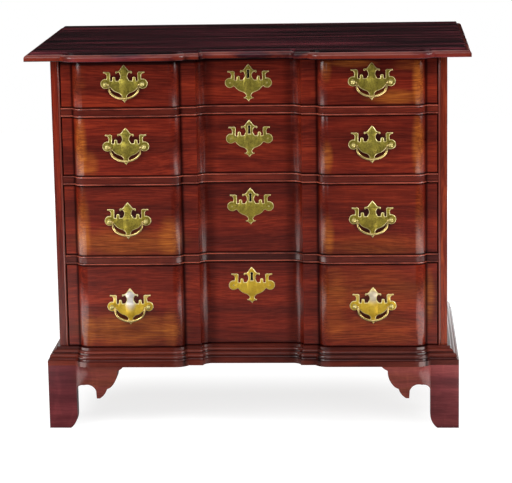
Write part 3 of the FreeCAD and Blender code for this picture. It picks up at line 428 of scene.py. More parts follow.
def pine(name, grain, seed, joints=()):
    """Bare old pine of the hidden pieces, with a dark gap at the height of each joint."""
    shader = Shader(name)
    place = shader.place()
    space = grain_space(shader, place, grain, seed)
    heart = shader.length(shader.mapped(space, (0.0, 1.0, 1.0)))
    sway = shader.noise(shader.mapped(space, (1.3, 5.0, 5.0)), 2.0)
    years = shader.math("MULTIPLY_ADD", sway, 0.12, heart)
    rings = shader.math("SINE", shader.times(years, 2 * math.pi / YEAR_RING))
    fine = shader.noise(shader.mapped(space, (9.0, 320.0, 320.0)), 3.0)
    darkening = shader.noise(shader.mapped(space, (3.0, 5.0, 5.0)), 4.0, 0.6)
    tone = shader.mix(shader.smooth(rings, -0.6, 1.0), PINE_LIGHT, PINE_RING)
    tone = shader.mix(shader.times(fine, 0.5), tone, PINE_FINE)
    tone = shader.mix(shader.smooth(darkening, 0.5, 0.8), tone, PINE_STAIN)
    for joint in joints:
        off = shader.apart(shader.parts(place)[2], joint)
        tone = shader.mix(shader.smooth(off, 0.0025, 0.0008), tone, JOINT_GAP)
    return shader.finish(fine, 0.25, 0.0006, {
        "Base Color": tone, "Roughness": 0.75, "Specular IOR Level": 0.25})


# ---------------------------------------------------------------- metal

TARNISH = screen(78, 66, 26)


def brass(name, seed, bright, dull, roughness, polish=0.8, speckle=0.6, glare=()):
    """Old brass with thin patches of tarnish, spots of painted glare and hand scratches."""
    shader = Shader(name)
    place = shader.place()
    offset = (seed * 0.37, seed * 0.61, seed * 0.83)
    patches = shader.noise(shader.mapped(place, (70.0, 70.0, 70.0), offset), 5.0, 0.65)
    specks = shader.noise(shader.mapped(place, (420.0, 420.0, 420.0), offset), 3.0, 0.6)
    scratch = shader.noise(shader.mapped(place, (900.0, 900.0, 140.0), offset), 2.0)
    waves = shader.noise(shader.mapped(place, (60.0, 60.0, 60.0), offset), 1.0)
    tone = shader.mix(shader.smooth(patches, 0.35, 0.68), bright, dull)
    tone = shader.mix(shader.times(shader.smooth(specks, 0.48, 0.66), speckle), tone, TARNISH)
    if glare:
        tone = shader.mix(oval_mask(shader, place, glare, 0.2), tone, BRASS_GLARE)
    height = shader.math("MULTIPLY_ADD", scratch, 0.04, waves)
    rough = shader.math("MULTIPLY_ADD", patches, 0.18, roughness - 0.09)
    return shader.finish(height, 0.06, 0.0008, {
        "Base Color": tone, "Metallic": polish, "Roughness": rough})


def iron(name):
    """Dark wrought iron of the locks."""
    shader = Shader(name)
    rust = shader.noise(shader.mapped(shader.place(), (120.0, 120.0, 120.0)), 4.0, 0.65)
    tone = shader.mix(shader.smooth(rust, 0.45, 0.75), screen(48, 46, 45), screen(58, 42, 33))
    return shader.finish(rust, 0.3, 0.0005, {
        "Base Color": tone, "Metallic": 0.85, "Roughness": 0.5})


# ---------------------------------------------------------------- the block front line

def rounded_end(tangent, crease):
    """Plan points of a block's round end, from where it leaves the face to its crease."""
    run = abs(crease[0] - tangent[0])
    rise = abs(crease[1] - tangent[1])
    radius = (run ** 2 + rise ** 2) / (2 * rise)
    whole = math.acos((radius - rise) / radius)
    along = math.copysign(1, crease[0] - tangent[0])
    towards = math.copysign(1, crease[1] - tangent[1])
    points = []
    for i in range(CURVE_STEPS + 1):
        turn = whole * i / CURVE_STEPS
        points.append((tangent[0] + along * radius * math.sin(turn),
                       tangent[1] + towards * radius * (1 - math.cos(turn))))
    return points


def front_line(out, half):
    """Plan points of the block front from -half to half, moved forward by out."""
    flat_y = FRONT_Y - out
    recess = (RECESS_HALF - PLANE_SPREAD * out, flat_y + RECESS_DEPTH)
    arris = (RECESS_HALF + COVE_WIDTH - COVE_SPREAD * out, flat_y)
    inner_crease = (CREASE_INNER - CREASE_SPREAD * out, flat_y)
    inner_face = (CREASE_INNER + CURVE_WIDTH - PLANE_SPREAD * out, flat_y - BLOCK_RISE)
    outer_face = (CREASE_OUTER - CURVE_WIDTH + PLANE_SPREAD * out, flat_y - BLOCK_RISE)
    outer_crease = (CREASE_OUTER + CREASE_SPREAD * out, flat_y)
    right = rounded_end(recess, arris)
    right += reversed(rounded_end(inner_face, inner_crease))
    right += rounded_end(outer_face, outer_crease)
    right.append((half, flat_y))
    return [(-x, y) for x, y in reversed(right)] + right


# ---------------------------------------------------------------- pieces in mesh code

# edges that bend more than this many degrees are sharp
SHARP_ANGLE = 32

# corners closer than this are one
SEAM = 1e-5

# wear of an edge, from 0 for grime with painted shade over plain to 1 for rubbed wear with a painted
# highlight
GRIMY_AND_SHADED = 0.1
PLAIN = 0.5
RUBBED = 0.62
BRIGHT = 0.9


def new_piece(name, mesh, body, slot, node, *materials):
    """Object that stands for a CAD node and moves with a body."""
    data = bpy.data.meshes.new(name)
    bmesh.ops.recalc_face_normals(mesh, faces=mesh.faces)
    mesh.to_mesh(data)
    mesh.free()
    data.shade_smooth()
    data.set_sharp_from_angle(angle=math.radians(SHARP_ANGLE))
    for material in materials:
        data.materials.append(material)
    piece = bpy.data.objects.new(name, data)
    bpy.context.scene.collection.objects.link(piece)
    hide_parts(node)
    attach(piece, body)
    return piece


def stacked(layers):
    """Closed mesh through plan outlines of equal length; each layer is (outline, z, wear)."""
    mesh = bmesh.new()
    wear = mesh.verts.layers.float.new("wear")
    rows = []
    for outline, z, worn_and_shaded in layers:
        row = []
        for x, y in outline:
            vertex = mesh.verts.new((x, y, z))
            vertex[wear] = worn_and_shaded
            row.append(vertex)
        rows.append(row)
    count = len(rows[0])
    for lower, upper in zip(rows, rows[1:]):
        for i in range(count):
            j = (i + 1) % count
            mesh.faces.new((lower[i], lower[j], upper[j], upper[i]))
    mesh.faces.new(list(reversed(rows[0])))
    mesh.faces.new(rows[-1])
    return mesh


def cut_box(piece, low, high):
    """Takes a box-shaped mortise out of a piece."""
    mesh = bmesh.new()
    size = [b - a for a, b in zip(low, high)]
    middle = [(a + b) / 2 for a, b in zip(low, high)]
    bmesh.ops.create_cube(mesh, size=1, matrix=Matrix.Translation(middle) @ Matrix.Diagonal((*size, 1)))
    data = bpy.data.meshes.new("mortise")
    mesh.to_mesh(data)
    mesh.free()
    cutter = bpy.data.objects.new("mortise", data)
    bpy.context.scene.collection.objects.link(cutter)
    boolean = piece.modifiers.new("mortise", "BOOLEAN")
    boolean.object = cutter
    boolean.solver = "EXACT"
    depsgraph = bpy.context.evaluated_depsgraph_get()
    piece.data = bpy.data.meshes.new_from_object(piece.evaluated_get(depsgraph))
    piece.modifiers.clear()
    bpy.data.objects.remove(cutter)


def round_edges(piece, width, angle=SHARP_ANGLE):
    """Rounds a piece's sharp edges, as handling and polishing do."""
    bevel = piece.modifiers.new("worn_edges", "BEVEL")
    bevel.width = width
    bevel.segments = 2
    bevel.limit_method = "ANGLE"
    bevel.angle_limit = math.radians(angle)


def quarter(start, end, steps, leaves_upright):
    """Points of a quarter round between two (out, z) points, without its first point."""
    points = []
    for i in range(1, steps + 1):
        turn = math.pi / 2 * i / steps
        slow, fast = 1 - math.cos(turn), math.sin(turn)
        if not leaves_upright:
            slow, fast = fast, slow
        points.append((start[0] + (end[0] - start[0]) * slow, start[1] + (end[1] - start[1]) * fast))
    return points


def level(points, wear=PLAIN):
    """Adds one wear to (out, z) points."""
    return [(out, z, wear) for out, z in points]


# ---------------------------------------------------------------- top, rails and base moulding

TOP_FRONT = 0.047
TOP_EDGE_HEIGHT = 0.0065
TOP_LIP = 0.0010
TOP_ROUND = 0.0085
TOP_ROUND_SHARE = 0.87
TOP_FIELD_INSET = 0.012
FIELD_LEAN = 0.0003
FIELD_DROP = 0.0005
FIELD_FLAT = 0.0009
BEAD_HEIGHT = 0.0035
BEAD_PROUD = 0.002
QUIRK = 0.0009
RAIL_DEPTH = 0.075
TONGUE_START = 0.009
TONGUE = 0.008

BASE_FILLET_OUT = 0.0060
BASE_FILLET_HEIGHT = 0.0056
BASE_OVOLO_OUT = 0.0125
BASE_OVOLO_HEIGHT = 0.0054
BASE_STEP_OUT = 0.0133
BASE_STEP_HEIGHT = 0.0028
BASE_TORUS_OUT = 0.0200
BASE_TORUS_HEIGHT = 0.0084
BASE_TORUS_CROWN = 0.0052
BASE_TUCK = 0.0012
BASE_COVE_HEIGHT = 0.0046
BASE_PROUD = 0.0240
BASE_ROUNDING = 0.0004
MOULDING_DEPTH = 0.040

# set-off and drop of the fine lines between two mouldings
LINE = 0.0004
LINE_DROP = 0.0001

MORTISE_GAP = 0.0007
MORTISE_OVERCUT = 0.001
TOP_MORTISE = 0.004
RAIL_MORTISE = 0.0085
TOP_RAIL_MORTISE = 0.006


def make_top(material):
    """Top board with its moulded edge and the mortise for the first drawer's bolt."""
    half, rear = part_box("top_board")[1][:2]
    upright = TOP_LOW + TOP_EDGE_HEIGHT
    shoulder = upright + TOP_ROUND * TOP_ROUND_SHARE
    lip = (TOP_LIP, TOP_LOW)
    edge = level([lip] + quarter(lip, (0, TOP_LOW + TOP_LIP), 3, False))
    edge += level([(0, TOP_LOW + TOP_LIP + LINE)], 0.88) + level([(0, upright)], BRIGHT)
    edge += level(quarter((0, upright), (TOP_ROUND, shoulder), 9, True), BRIGHT)
    edge += level([(TOP_FIELD_INSET - LINE, shoulder + LINE / 2)])
    edge += level([(TOP_FIELD_INSET, shoulder + LINE / 2)], GRIMY_AND_SHADED)
    edge += level([(TOP_FIELD_INSET + FIELD_LEAN, TOP_HIGH - FIELD_DROP)], 0.6)
    edge += level([(TOP_FIELD_INSET + FIELD_FLAT, TOP_HIGH)])
    layers = []
    for inset, z, wear in edge:
        x = half - inset
        layers.append((front_line(TOP_FRONT - inset, x) + [(x, rear), (-x, rear)], z, wear))
    board = new_piece("moulded_top", stacked(layers), "case", "top", "top_board", material)
    cut_bolt_mortise(board, TOP_LOW, TOP_MORTISE)


def cut_bolt_mortise(piece, low, depth):
    """Mortise over a drawer's lock bolt, a little wider than the bolt."""
    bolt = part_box("drawer_1_lock_bolt")
    cut_box(piece, (bolt[0][0] - MORTISE_GAP, bolt[0][1] - MORTISE_GAP, low - MORTISE_OVERCUT),
            (bolt[1][0] + MORTISE_GAP, bolt[1][1] + MORTISE_GAP, low + depth))


def bead(low, height, steps=8):
    """Half-round bead as (out, z, wear), rubbed and painted bright along its crown."""
    points = []
    for i in range(steps + 1):
        turn = math.pi * i / steps
        crown = math.sin(turn)
        points.append((BEAD_PROUD * crown, low + height * (1 - math.cos(turn)) / 2, 0.45 + 0.55 * crown))
    return points


def quirk(low):
    """Narrow groove beside a bead, whose low wear paints shade with grime into it."""
    return [(-QUIRK, low + QUIRK * 0.2, 0.0), (-QUIRK, low + QUIRK * 0.8, 0.0), (0.0, low + QUIRK, 0.4)]


def make_rails(materials):
    """Blocked rails with a bead on each edge and a quirk beside each bead."""
    for node, material in zip(RAILS, materials):
        low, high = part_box(node)[0][2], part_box(node)[1][2]
        y = FRONT_Y
        back = [(INSIDE, y + RAIL_DEPTH), (-INSIDE, y + RAIL_DEPTH)]
        if node == "top_rail":
            edge = bead(low, high - low)
        else:
            tip = INSIDE + TONGUE
            back = [(INSIDE, y + TONGUE_START), (tip, y + TONGUE_START), (tip, y + RAIL_DEPTH),
                    (-tip, y + RAIL_DEPTH), (-tip, y + TONGUE_START), (-INSIDE, y + TONGUE_START)]
            upper = high - BEAD_HEIGHT
            edge = bead(low, BEAD_HEIGHT) + quirk(low + BEAD_HEIGHT)
            edge += [(out, 2 * upper - z, wear) for out, z, wear in reversed(quirk(upper))]
            edge += bead(upper, BEAD_HEIGHT)
        layers = [(front_line(out, INSIDE) + back, z, wear) for out, z, wear in edge]
        rail = new_piece("blocked_" + node, stacked(layers), "case", "case", node, material)
        cut_bolt_mortise(rail, low, TOP_RAIL_MORTISE if node == "top_rail" else RAIL_MORTISE)


def base_edge():
    """Profile of the base moulding from its top down, as (out, z, wear); low wear paints shade with
    grime into its lines and cove, high wear rubbed wear with a painted highlight on its rounds.
    """
    z = BASE_TOP
    points = level([(BASE_FILLET_OUT, z)])
    z -= BASE_FILLET_HEIGHT
    points += level([(BASE_FILLET_OUT, z + LINE)], 0.6) + level([(BASE_FILLET_OUT, z)], GRIMY_AND_SHADED)
    start = (BASE_FILLET_OUT + LINE, z - LINE_DROP)
    z -= BASE_OVOLO_HEIGHT
    points += level([start], GRIMY_AND_SHADED) + level(quarter(start, (BASE_OVOLO_OUT, z), 8, False), RUBBED)
    points += level([(BASE_STEP_OUT, z - LINE_DROP)], GRIMY_AND_SHADED)
    z -= BASE_STEP_HEIGHT
    points += level([(BASE_STEP_OUT, z)], 0.4)
    start = (BASE_STEP_OUT + LINE + LINE_DROP, z - LINE_DROP)
    crown = (BASE_TORUS_OUT, z - BASE_TORUS_CROWN)
    z -= BASE_TORUS_HEIGHT
    points += level([start], GRIMY_AND_SHADED) + level(quarter(start, crown, 8, False), RUBBED)
    points += level(quarter(crown, (BASE_TORUS_OUT - BASE_TUCK, z), 5, True), 0.55)
    cove = (BASE_TORUS_OUT - BASE_TUCK + 2 * LINE_DROP, z - LINE_DROP)
    z -= BASE_COVE_HEIGHT
    points += level([cove], 0.0) + level(quarter(cove, (BASE_PROUD, z), 7, True), 0.4)
    points += level([(BASE_PROUD, z - LINE - 2 * LINE_DROP), (BASE_PROUD, BASE_LOW)], RUBBED)
    return points


def make_base(front_material, side_material):
    """Base moulding along the blocked front and down both sides, mitred at the corners."""
    y = FRONT_Y
    deep = y + MOULDING_DEPTH
    back = [(HALF_CASE, y), (INSIDE, y), (INSIDE, deep), (-INSIDE, deep), (-INSIDE, y), (-HALF_CASE, y)]
    edge = base_edge()
    layers = [(front_line(out, HALF_CASE + out) + back, z, wear) for out, z, wear in edge]
    front = new_piece("moulded_base_front", stacked(layers), "case", "base", "base_moulding_front",
                      front_material)
    round_edges(front, BASE_ROUNDING)
    for side, node in ((-1, "base_moulding_left"), (1, "base_moulding_right")):
        layers = []
        for out, z, wear in edge:
            corners = [(HALF_CASE, y), (HALF_CASE + out, y - out), (HALF_CASE + out, REAR_Y),
                       (HALF_CASE, REAR_Y)]
            layers.append(([(side * x, depth) for x, depth in corners], z, wear))
        strip = new_piece("moulded_" + node, stacked(layers), "case", "base", node, side_material)
        round_edges(strip, BASE_ROUNDING)


# ---------------------------------------------------------------- brasses

PLATE_RIM = 0.0012

# how nearly straight to the front a plate's face looks, 1 being straight
FACING = 0.99

BAIL_HALF = 0.031
BAIL_DROP = 0.030
BAIL_STRAIGHT = 0.007
BAIL_CORNER = 0.019
BAIL_NECK = 0.0024
BAIL_END = 0.0004
PIVOT_RADIUS = 0.0017
PIVOT_LENGTH = 0.0034
BAIL_THIN = 0.0019
BAIL_THICK = 0.0025
BAIL_SIDES = 16


def make_plates(n, material, rim):
    """The pierced plates of a drawer, with a filed slope round every edge of their faces, in lighter
    brass with a painted highlight.
    """
    node = f"drawer_{n}_plates"
    mesh = bmesh.new()
    mesh.from_mesh(NODES[node].data)
    bmesh.ops.remove_doubles(mesh, verts=mesh.verts, dist=SEAM)
    mesh.normal_update()
    faces = [face for face in mesh.faces if face.normal.y < -FACING]
    sloped = bmesh.ops.inset_region(mesh, faces=faces, thickness=PLATE_RIM, use_boundary=True,
                                    use_even_offset=True)
    for face in sloped["faces"]:
        face.material_index = 1
    inner = {vertex for face in faces for vertex in face.verts}
    face_y = {round(vertex.co.y, 5) for vertex in inner}
    for vertex in mesh.verts:
        if vertex not in inner and round(vertex.co.y, 5) in face_y:
            vertex.co.y += PLATE_RIM
    new_piece(f"pierced_plates_{n}", mesh, f"drawer_{n}", "brass", node, material, rim)


def arc_points(centre, radius, start, end, steps):
    """(x, z) points on an arc between two angles in degrees, without the first."""
    points = []
    for i in range(1, steps + 1):
        turn = math.radians(start + (end - start) * i / steps)
        points.append((centre[0] + radius * math.cos(turn), centre[1] + radius * math.sin(turn)))
    return points


def bail_line():
    """Half of a bail's middle line from its pivot to its lowest point, about the pivot line."""
    reach = BAIL_DROP - BAIL_STRAIGHT
    centre = BAIL_HALF - BAIL_CORNER
    belly = (centre ** 2 + reach ** 2 - BAIL_CORNER ** 2) / (2 * (reach - BAIL_CORNER))
    lean = math.degrees(math.atan2(centre, belly - reach))
    points = [(BAIL_HALF + BAIL_NECK, 0.0)]
    points += arc_points((BAIL_HALF + BAIL_NECK, -BAIL_NECK), BAIL_NECK, 90, 180, 6)
    points.append((BAIL_HALF, -BAIL_STRAIGHT))
    points += arc_points((centre, -BAIL_STRAIGHT), BAIL_CORNER, 0, lean - 90, 12)
    points += arc_points((0, belly - BAIL_DROP), belly, lean - 90, -90, 12)
    return points


def make_bail(n, word, material):
    """A bail that swells towards its middle, with a pivot at each end."""
    node = f"drawer_{n}_bail_{word}"
    pivot = Vector(JOINTS[f"bail_{n}_{word}_swing"]["pos_m"])
    half = bail_line()
    points = half + [(-x, z) for x, z in reversed(half[:-1])]
    shoulder = BAIL_HALF + BAIL_NECK + BAIL_END
    end = shoulder + PIVOT_LENGTH
    mesh = bmesh.new()
    rings = [tube_ring(mesh, pivot, (end, 0), (-1, 0), PIVOT_RADIUS),
             tube_ring(mesh, pivot, (shoulder, 0), (-1, 0), PIVOT_RADIUS)]
    for i, point in enumerate(points):
        before = points[max(i - 1, 0)]
        after = points[min(i + 1, len(points) - 1)]
        along = (after[0] - before[0], after[1] - before[1])
        thick = BAIL_THIN + (BAIL_THICK - BAIL_THIN) * max(0.0, -point[1] / BAIL_DROP)
        if i in (0, len(points) - 1):
            along = (-1, 0)
        rings.append(tube_ring(mesh, pivot, point, along, thick))
    rings.insert(2, tube_ring(mesh, pivot, (shoulder, 0), (-1, 0), BAIL_THIN))
    rings.append(tube_ring(mesh, pivot, (-shoulder, 0), (-1, 0), BAIL_THIN))
    rings.append(tube_ring(mesh, pivot, (-shoulder, 0), (-1, 0), PIVOT_RADIUS))
    rings.append(tube_ring(mesh, pivot, (-end, 0), (-1, 0), PIVOT_RADIUS))
    for first, second in zip(rings, rings[1:]):
        for i in range(BAIL_SIDES):
            j = (i + 1) % BAIL_SIDES
            mesh.faces.new((first[i], first[j], second[j], second[i]))
    mesh.faces.new(rings[0])
    mesh.faces.new(list(reversed(rings[-1])))
    new_piece(f"cast_bail_{n}_{word}", mesh, f"bail_{n}_{word}", "brass", node, material)


def tube_ring(mesh, pivot, point, along, radius):
    """Ring of vertices round a point of a bail's line; along is the line's direction there."""
    length = math.hypot(*along)
    across = (-along[1] / length, along[0] / length)
    ring = []
    for i in range(BAIL_SIDES):
        turn = 2 * math.pi * i / BAIL_SIDES
        sideways = radius * math.cos(turn)
        ring.append(mesh.verts.new(pivot + Vector((point[0] + across[0] * sideways,
                                                   radius * math.sin(turn),
                                                   point[1] + across[1] * sideways))))
    return ring


# ---------------------------------------------------------------- dressing the nodes

# golden places of each drawer front, faded wood and, on the blocks' round ends, painted side light:
# middle x and z, half width and height, strength
FADED_AND_SIDE_LIT = {
    1: [(-0.352, 0.740, 0.016, 0.050, 0.08),
        (0.352, 0.738, 0.012, 0.055, 0.75), (0.300, 0.708, 0.060, 0.016, 0.55),
        (0.163, 0.765, 0.012, 0.026, 0.60), (0.215, 0.779, 0.050, 0.009, 0.50),
        (0.330, 0.775, 0.030, 0.012, 0.30)],
    2: [(-0.352, 0.607, 0.013, 0.075, 0.60), (-0.335, 0.570, 0.020, 0.030, 0.35),
        (0.352, 0.607, 0.013, 0.070, 0.60), (0.163, 0.580, 0.013, 0.035, 0.60)],
    3: [(-0.352, 0.430, 0.015, 0.085, 0.60), (-0.170, 0.410, 0.025, 0.050, 0.50),
        (-0.260, 0.405, 0.120, 0.032, 0.38), (0.354, 0.450, 0.010, 0.080, 0.20),
        (0.163, 0.415, 0.014, 0.045, 0.60), (0.260, 0.395, 0.110, 0.028, 0.20)],
    4: [(-0.260, 0.215, 0.115, 0.040, 0.45), (-0.172, 0.215, 0.018, 0.050, 0.35),
        (-0.347, 0.215, 0.016, 0.045, 0.25), (0.175, 0.270, 0.030, 0.085, 0.28),
        (0.260, 0.295, 0.115, 0.060, 0.20), (0.260, 0.210, 0.115, 0.035, 0.22),
        (0.375, 0.280, 0.012, 0.060, 0.50)],
}

BRACKET_FADED = {
    "left": [(-0.315, 0.105, 0.065, 0.070, 0.18)],
    "right": [(0.315, 0.105, 0.065, 0.070, 0.14)],
}

# darker places of each drawer front, those along the first drawer's top edge painted shadow under the
# top: middle, half lengths along x, y and z, strength
STAINED_AND_SHADOWED = {
    1: [((-0.30, FRONT_Y, 0.7900), (0.45, 1.0, 0.0110), 1.0),
        ((0.26, FRONT_Y, 0.7900), (0.15, 1.0, 0.0060), 0.25)],
    2: [((0.0, FRONT_Y, 0.607), (0.090, 1.0, 0.060), 0.30),
        ((0.26, FRONT_Y, 0.59), (0.15, 1.0, 0.050), 0.15)],
    3: [((0.0, FRONT_Y, 0.500), (0.60, 1.0, 0.055), 0.20),
        ((0.26, FRONT_Y, 0.44), (0.15, 1.0, 0.120), 0.15),
        ((0.0, FRONT_Y, 0.430), (0.090, 1.0, 0.085), 0.12)],
    4: [((-0.245, FRONT_Y, 0.325), (0.12, 1.0, 0.045), 0.22),
        ((0.26, FRONT_Y, 0.25), (0.16, 1.0, 0.140), 0.12)],
}

# old polish with painted shadow of plate and bail round each handle: its middle under the posts, half
# lengths, strength
BRASS_DIRT_SHADOW_DROP = 0.004
BRASS_DIRT_SHADOW_HALF = (0.041, 1.0, 0.029)
BRASS_DIRT_SHADOW = 0.8

# finishes that several pieces share; the round corners of rails and base stay polished
RAIL_FINISH = {"creases": True, "corners": True, "lines": 0.6, "coat": 0.45, "glow": 0.14}
BASE_FINISH = {**RAIL_FINISH, "coat": 0.2, "worn_and_shaded": True}
TOP_FINISH = {"worn_and_shaded": True, "gloss": 0.22, "figure": 0.3, "coat": 0.3, "wear_and_sheen_tone": RUBBED_TOP_SHEEN,
              "polish": 0.9}
BRACKET_FINISH = {"figure": 0.5, "lines": 0.4, "coat": 0.45}
RAIL_TONES = (SHADED, RAIL, RAIL, DIM_RAIL)

# painted shade along the right end of the top: y, half lengths, strength
END_SHADE = (0.05, (0.017, 0.32, 0.017), 0.95)

BACK_BOARDS = 3
SOFT_EDGE = 0.0006
SOFT_ANGLE = 35


def brass_dirt_and_shadow(n):
    """The darker places of a drawer front, and old polish with painted plate and bail shadow round its
    two handles.
    """
    spots = list(STAINED_AND_SHADOWED[n])
    for word in ("left", "right"):
        x, y, z = JOINTS[f"bail_{n}_{word}_swing"]["pos_m"]
        spots.append(((x, y, z - BRASS_DIRT_SHADOW_DROP), BRASS_DIRT_SHADOW_HALF, BRASS_DIRT_SHADOW))
    return spots


def dress(node, material):
    NODES[node].data.materials.clear()
    NODES[node].data.materials.append(material)


def dress_case():
    """Polished wood of the top, rails, base, sides and feet."""
    # painted shade on the top's right end
    shade_y, shade_half, darkening = END_SHADE
    end = (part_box("top_board")[1][0], shade_y, TOP_LOW)
    make_top(mahogany("mahogany_top", "x", 3.1, BLACKISH, dark_spots=[(end, shade_half, darkening)],
                      **TOP_FINISH))
    make_rails([mahogany("mahogany_" + node, "x", 11.7 + i, tones, worn_and_shaded=i > 0, **RAIL_FINISH)
                for i, (node, tones) in enumerate(zip(RAILS, RAIL_TONES))])
    make_base(mahogany("mahogany_base_front", "x", 17.9, DEEP, **BASE_FINISH),
              mahogany("mahogany_base_side", "y", 22.4, DEEP, worn_and_shaded=True))
    dress("side_left", mahogany("mahogany_side_left", "z", 5.3, RED))
    dress("side_right", mahogany("mahogany_side_right", "z", 6.3, WARM))
    # side beads: a crown with a painted highlight, painted shade beside it
    dress("side_beads", mahogany("mahogany_beads", "z", 8.2, RED, crown=RUBBED_BEAD_SHEEN))
    dress("side_brackets", mahogany("mahogany_side_brackets", "y", 24.1, PURPLE))
    for word, seed, tones in (("left", 19.2, PURPLE), ("right", 20.2, ROSE)):
        dress(f"front_bracket_{word}", mahogany(f"mahogany_bracket_{word}", "x", seed, tones,
                                                BRACKET_FADED[word], **BRACKET_FINISH))


def dress_drawers():
    """Polished drawer fronts and the bare pine behind them."""
    for n in DRAWERS:
        low, high = (corner[2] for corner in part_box(f"drawer_{n}_front"))
        # golden patches with painted side light, darker places with painted shadow
        dress(f"drawer_{n}_front", mahogany(f"mahogany_front_{n}", "x", 31.3 * n, RED, FADED_AND_SIDE_LIT[n],
                                            creases=True, edges=(low, high), dark_spots=brass_dirt_and_shadow(n)))
        dress(f"drawer_{n}_sides", pine(f"pine_sides_{n}", "y", 12.9 + n))
        dress(f"drawer_{n}_back", pine(f"pine_back_{n}", "x", 15.2 + n))
        dress(f"drawer_{n}_bottom", pine(f"pine_bottom_{n}", "x", 19.6 + n))


def dress_pine():
    """Bare pine of the case's hidden pieces."""
    low, high = (corner[2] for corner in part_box("back_boards"))
    joints = [low + (high - low) * i / BACK_BOARDS for i in range(1, BACK_BOARDS)]
    dress("back_boards", pine("pine_back", "x", 2.8, joints))
    dress("foot_blocks", pine("pine_z", "z", 9.2))
    along_x = pine("pine_x", "x", 4.4)
    along_y = pine("pine_y", "y", 6.1)
    for node, material in (("bottom_board", along_x), ("rear_brackets", along_x),
                           ("drawer_runners", along_y), ("drawer_stops", along_y)):
        dress(node, material)


# bright and dull tone of each drawer's plates; the lowest drawer's much lighter tones are a painted
# reflection of the bright floor
PLATE_TONES = {
    1: (screen(152, 140, 54), screen(118, 108, 38)),
    2: (screen(154, 142, 56), screen(120, 110, 42)),
    3: (screen(162, 148, 56), screen(130, 116, 42)),
    4: (screen(218, 184, 60), screen(196, 160, 48)),
}
CAST_TONES = (screen(208, 186, 122), screen(178, 154, 92))
# the filed slopes: lighter brass with a painted highlight
RIM_TONES = (screen(224, 210, 150), screen(192, 176, 108))
KNOB_TONES = (screen(206, 194, 122), screen(168, 154, 84))

# the drawer whose plates carry painted glare and little speckle, and how speckled the plates are
RUBBED_DRAWER = 4
CLEAN_SPECKLE = 0.12
SPECKLE = 0.6

# painted glare on that drawer's plates, from each handle: middle, half lengths, strength
PLATE_GLARE = {
    "left": [((0.0, 0.0, 0.013), (0.014, 1.0, 0.024), 0.95),
             ((0.0, 0.0, 0.022), (0.040, 1.0, 0.018), 0.75)],
    "right": [((0.0, 0.0, 0.018), (0.014, 1.0, 0.020), 0.22),
              ((0.0, 0.0, 0.022), (0.040, 1.0, 0.018), 0.50)],
}


def glare_spots():
    """The painted glare on that drawer's plates, in the object's own space."""
    spots = []
    for word, places in PLATE_GLARE.items():
        handle = Vector(JOINTS[f"bail_{RUBBED_DRAWER}_{word}_swing"]["pos_m"])
        spots += [(handle + Vector(middle), half, strength) for middle, half, strength in places]
    return spots


def dress_metal():
    dark_iron = iron("dark_iron")
    for n in DRAWERS:
        glaring = n == RUBBED_DRAWER
        # the lowest drawer's plates take painted glare and little speckle
        plate = brass(f"brass_plates_{n}", 2.0 * n, *PLATE_TONES[n], 0.48,
                      speckle=CLEAN_SPECKLE if glaring else SPECKLE, glare=glare_spots() if glaring else ())
        cast = brass(f"brass_cast_{n}", 3.0 * n, *CAST_TONES, 0.25, speckle=0.25)
        rim = brass(f"brass_rims_{n}", 5.0 * n, *RIM_TONES, 0.35, 0.35, 0.2)
        knob = brass(f"brass_knobs_{n}", 7.0 * n, *KNOB_TONES, 0.28, 0.5, 0.3)
        make_plates(n, plate, rim)
        make_bail(n, "left", cast)
        make_bail(n, "right", cast)
        dress(f"drawer_{n}_posts", knob)
        dress(f"drawer_{n}_lock", dark_iron)
        dress(f"drawer_{n}_lock_bolt", dark_iron)


# endings of the nodes that stay as they are: a finer piece replaces all of them but the posts
NOT_SOFTENED = RAILS + ("plates", "posts", "bail_left", "bail_right", "top_board",
                        "base_moulding_front", "base_moulding_left", "base_moulding_right")


def soften_edges():
    """Joins the split corners of the other nodes' meshes and rounds their sharp edges."""
    for node, piece in NODES.items():
        if not node.endswith(NOT_SOFTENED):
            weld = piece.modifiers.new("weld", "WELD")
            weld.merge_threshold = SEAM
            round_edges(piece, SOFT_EDGE, SOFT_ANGLE)


# ---------------------------------------------------------------- studio

FLOOR_RADIUS = 4.1
FLOOR_GREY = 0.25
RING_RADIUS = 4.2
RING_HEIGHT = 3.3
RING_DROP = 0.05
RING_GREY = 0.02
ROOM_TINT = (0.95, 0.97, 1.0, 1.0)
ROOM_LIGHT = 0.3

# the shade under the chest: its strength, and where it starts and is full along x and y
SHADE = 0.22
SHADE_SIDE = (0.50, 0.34)
SHADE_FRONT = (-0.30, -0.10)
SHADE_REAR = (0.26, 0.02)

# the floor as reflections see it: bright near the chest, most of all at either side of it
MIRROR_FAR = 0.05
MIRROR_FRONT = 0.1
MIRROR_NEAR = (2.7, 1.3)
MIRROR_ASIDE = (0.45, 0.95)

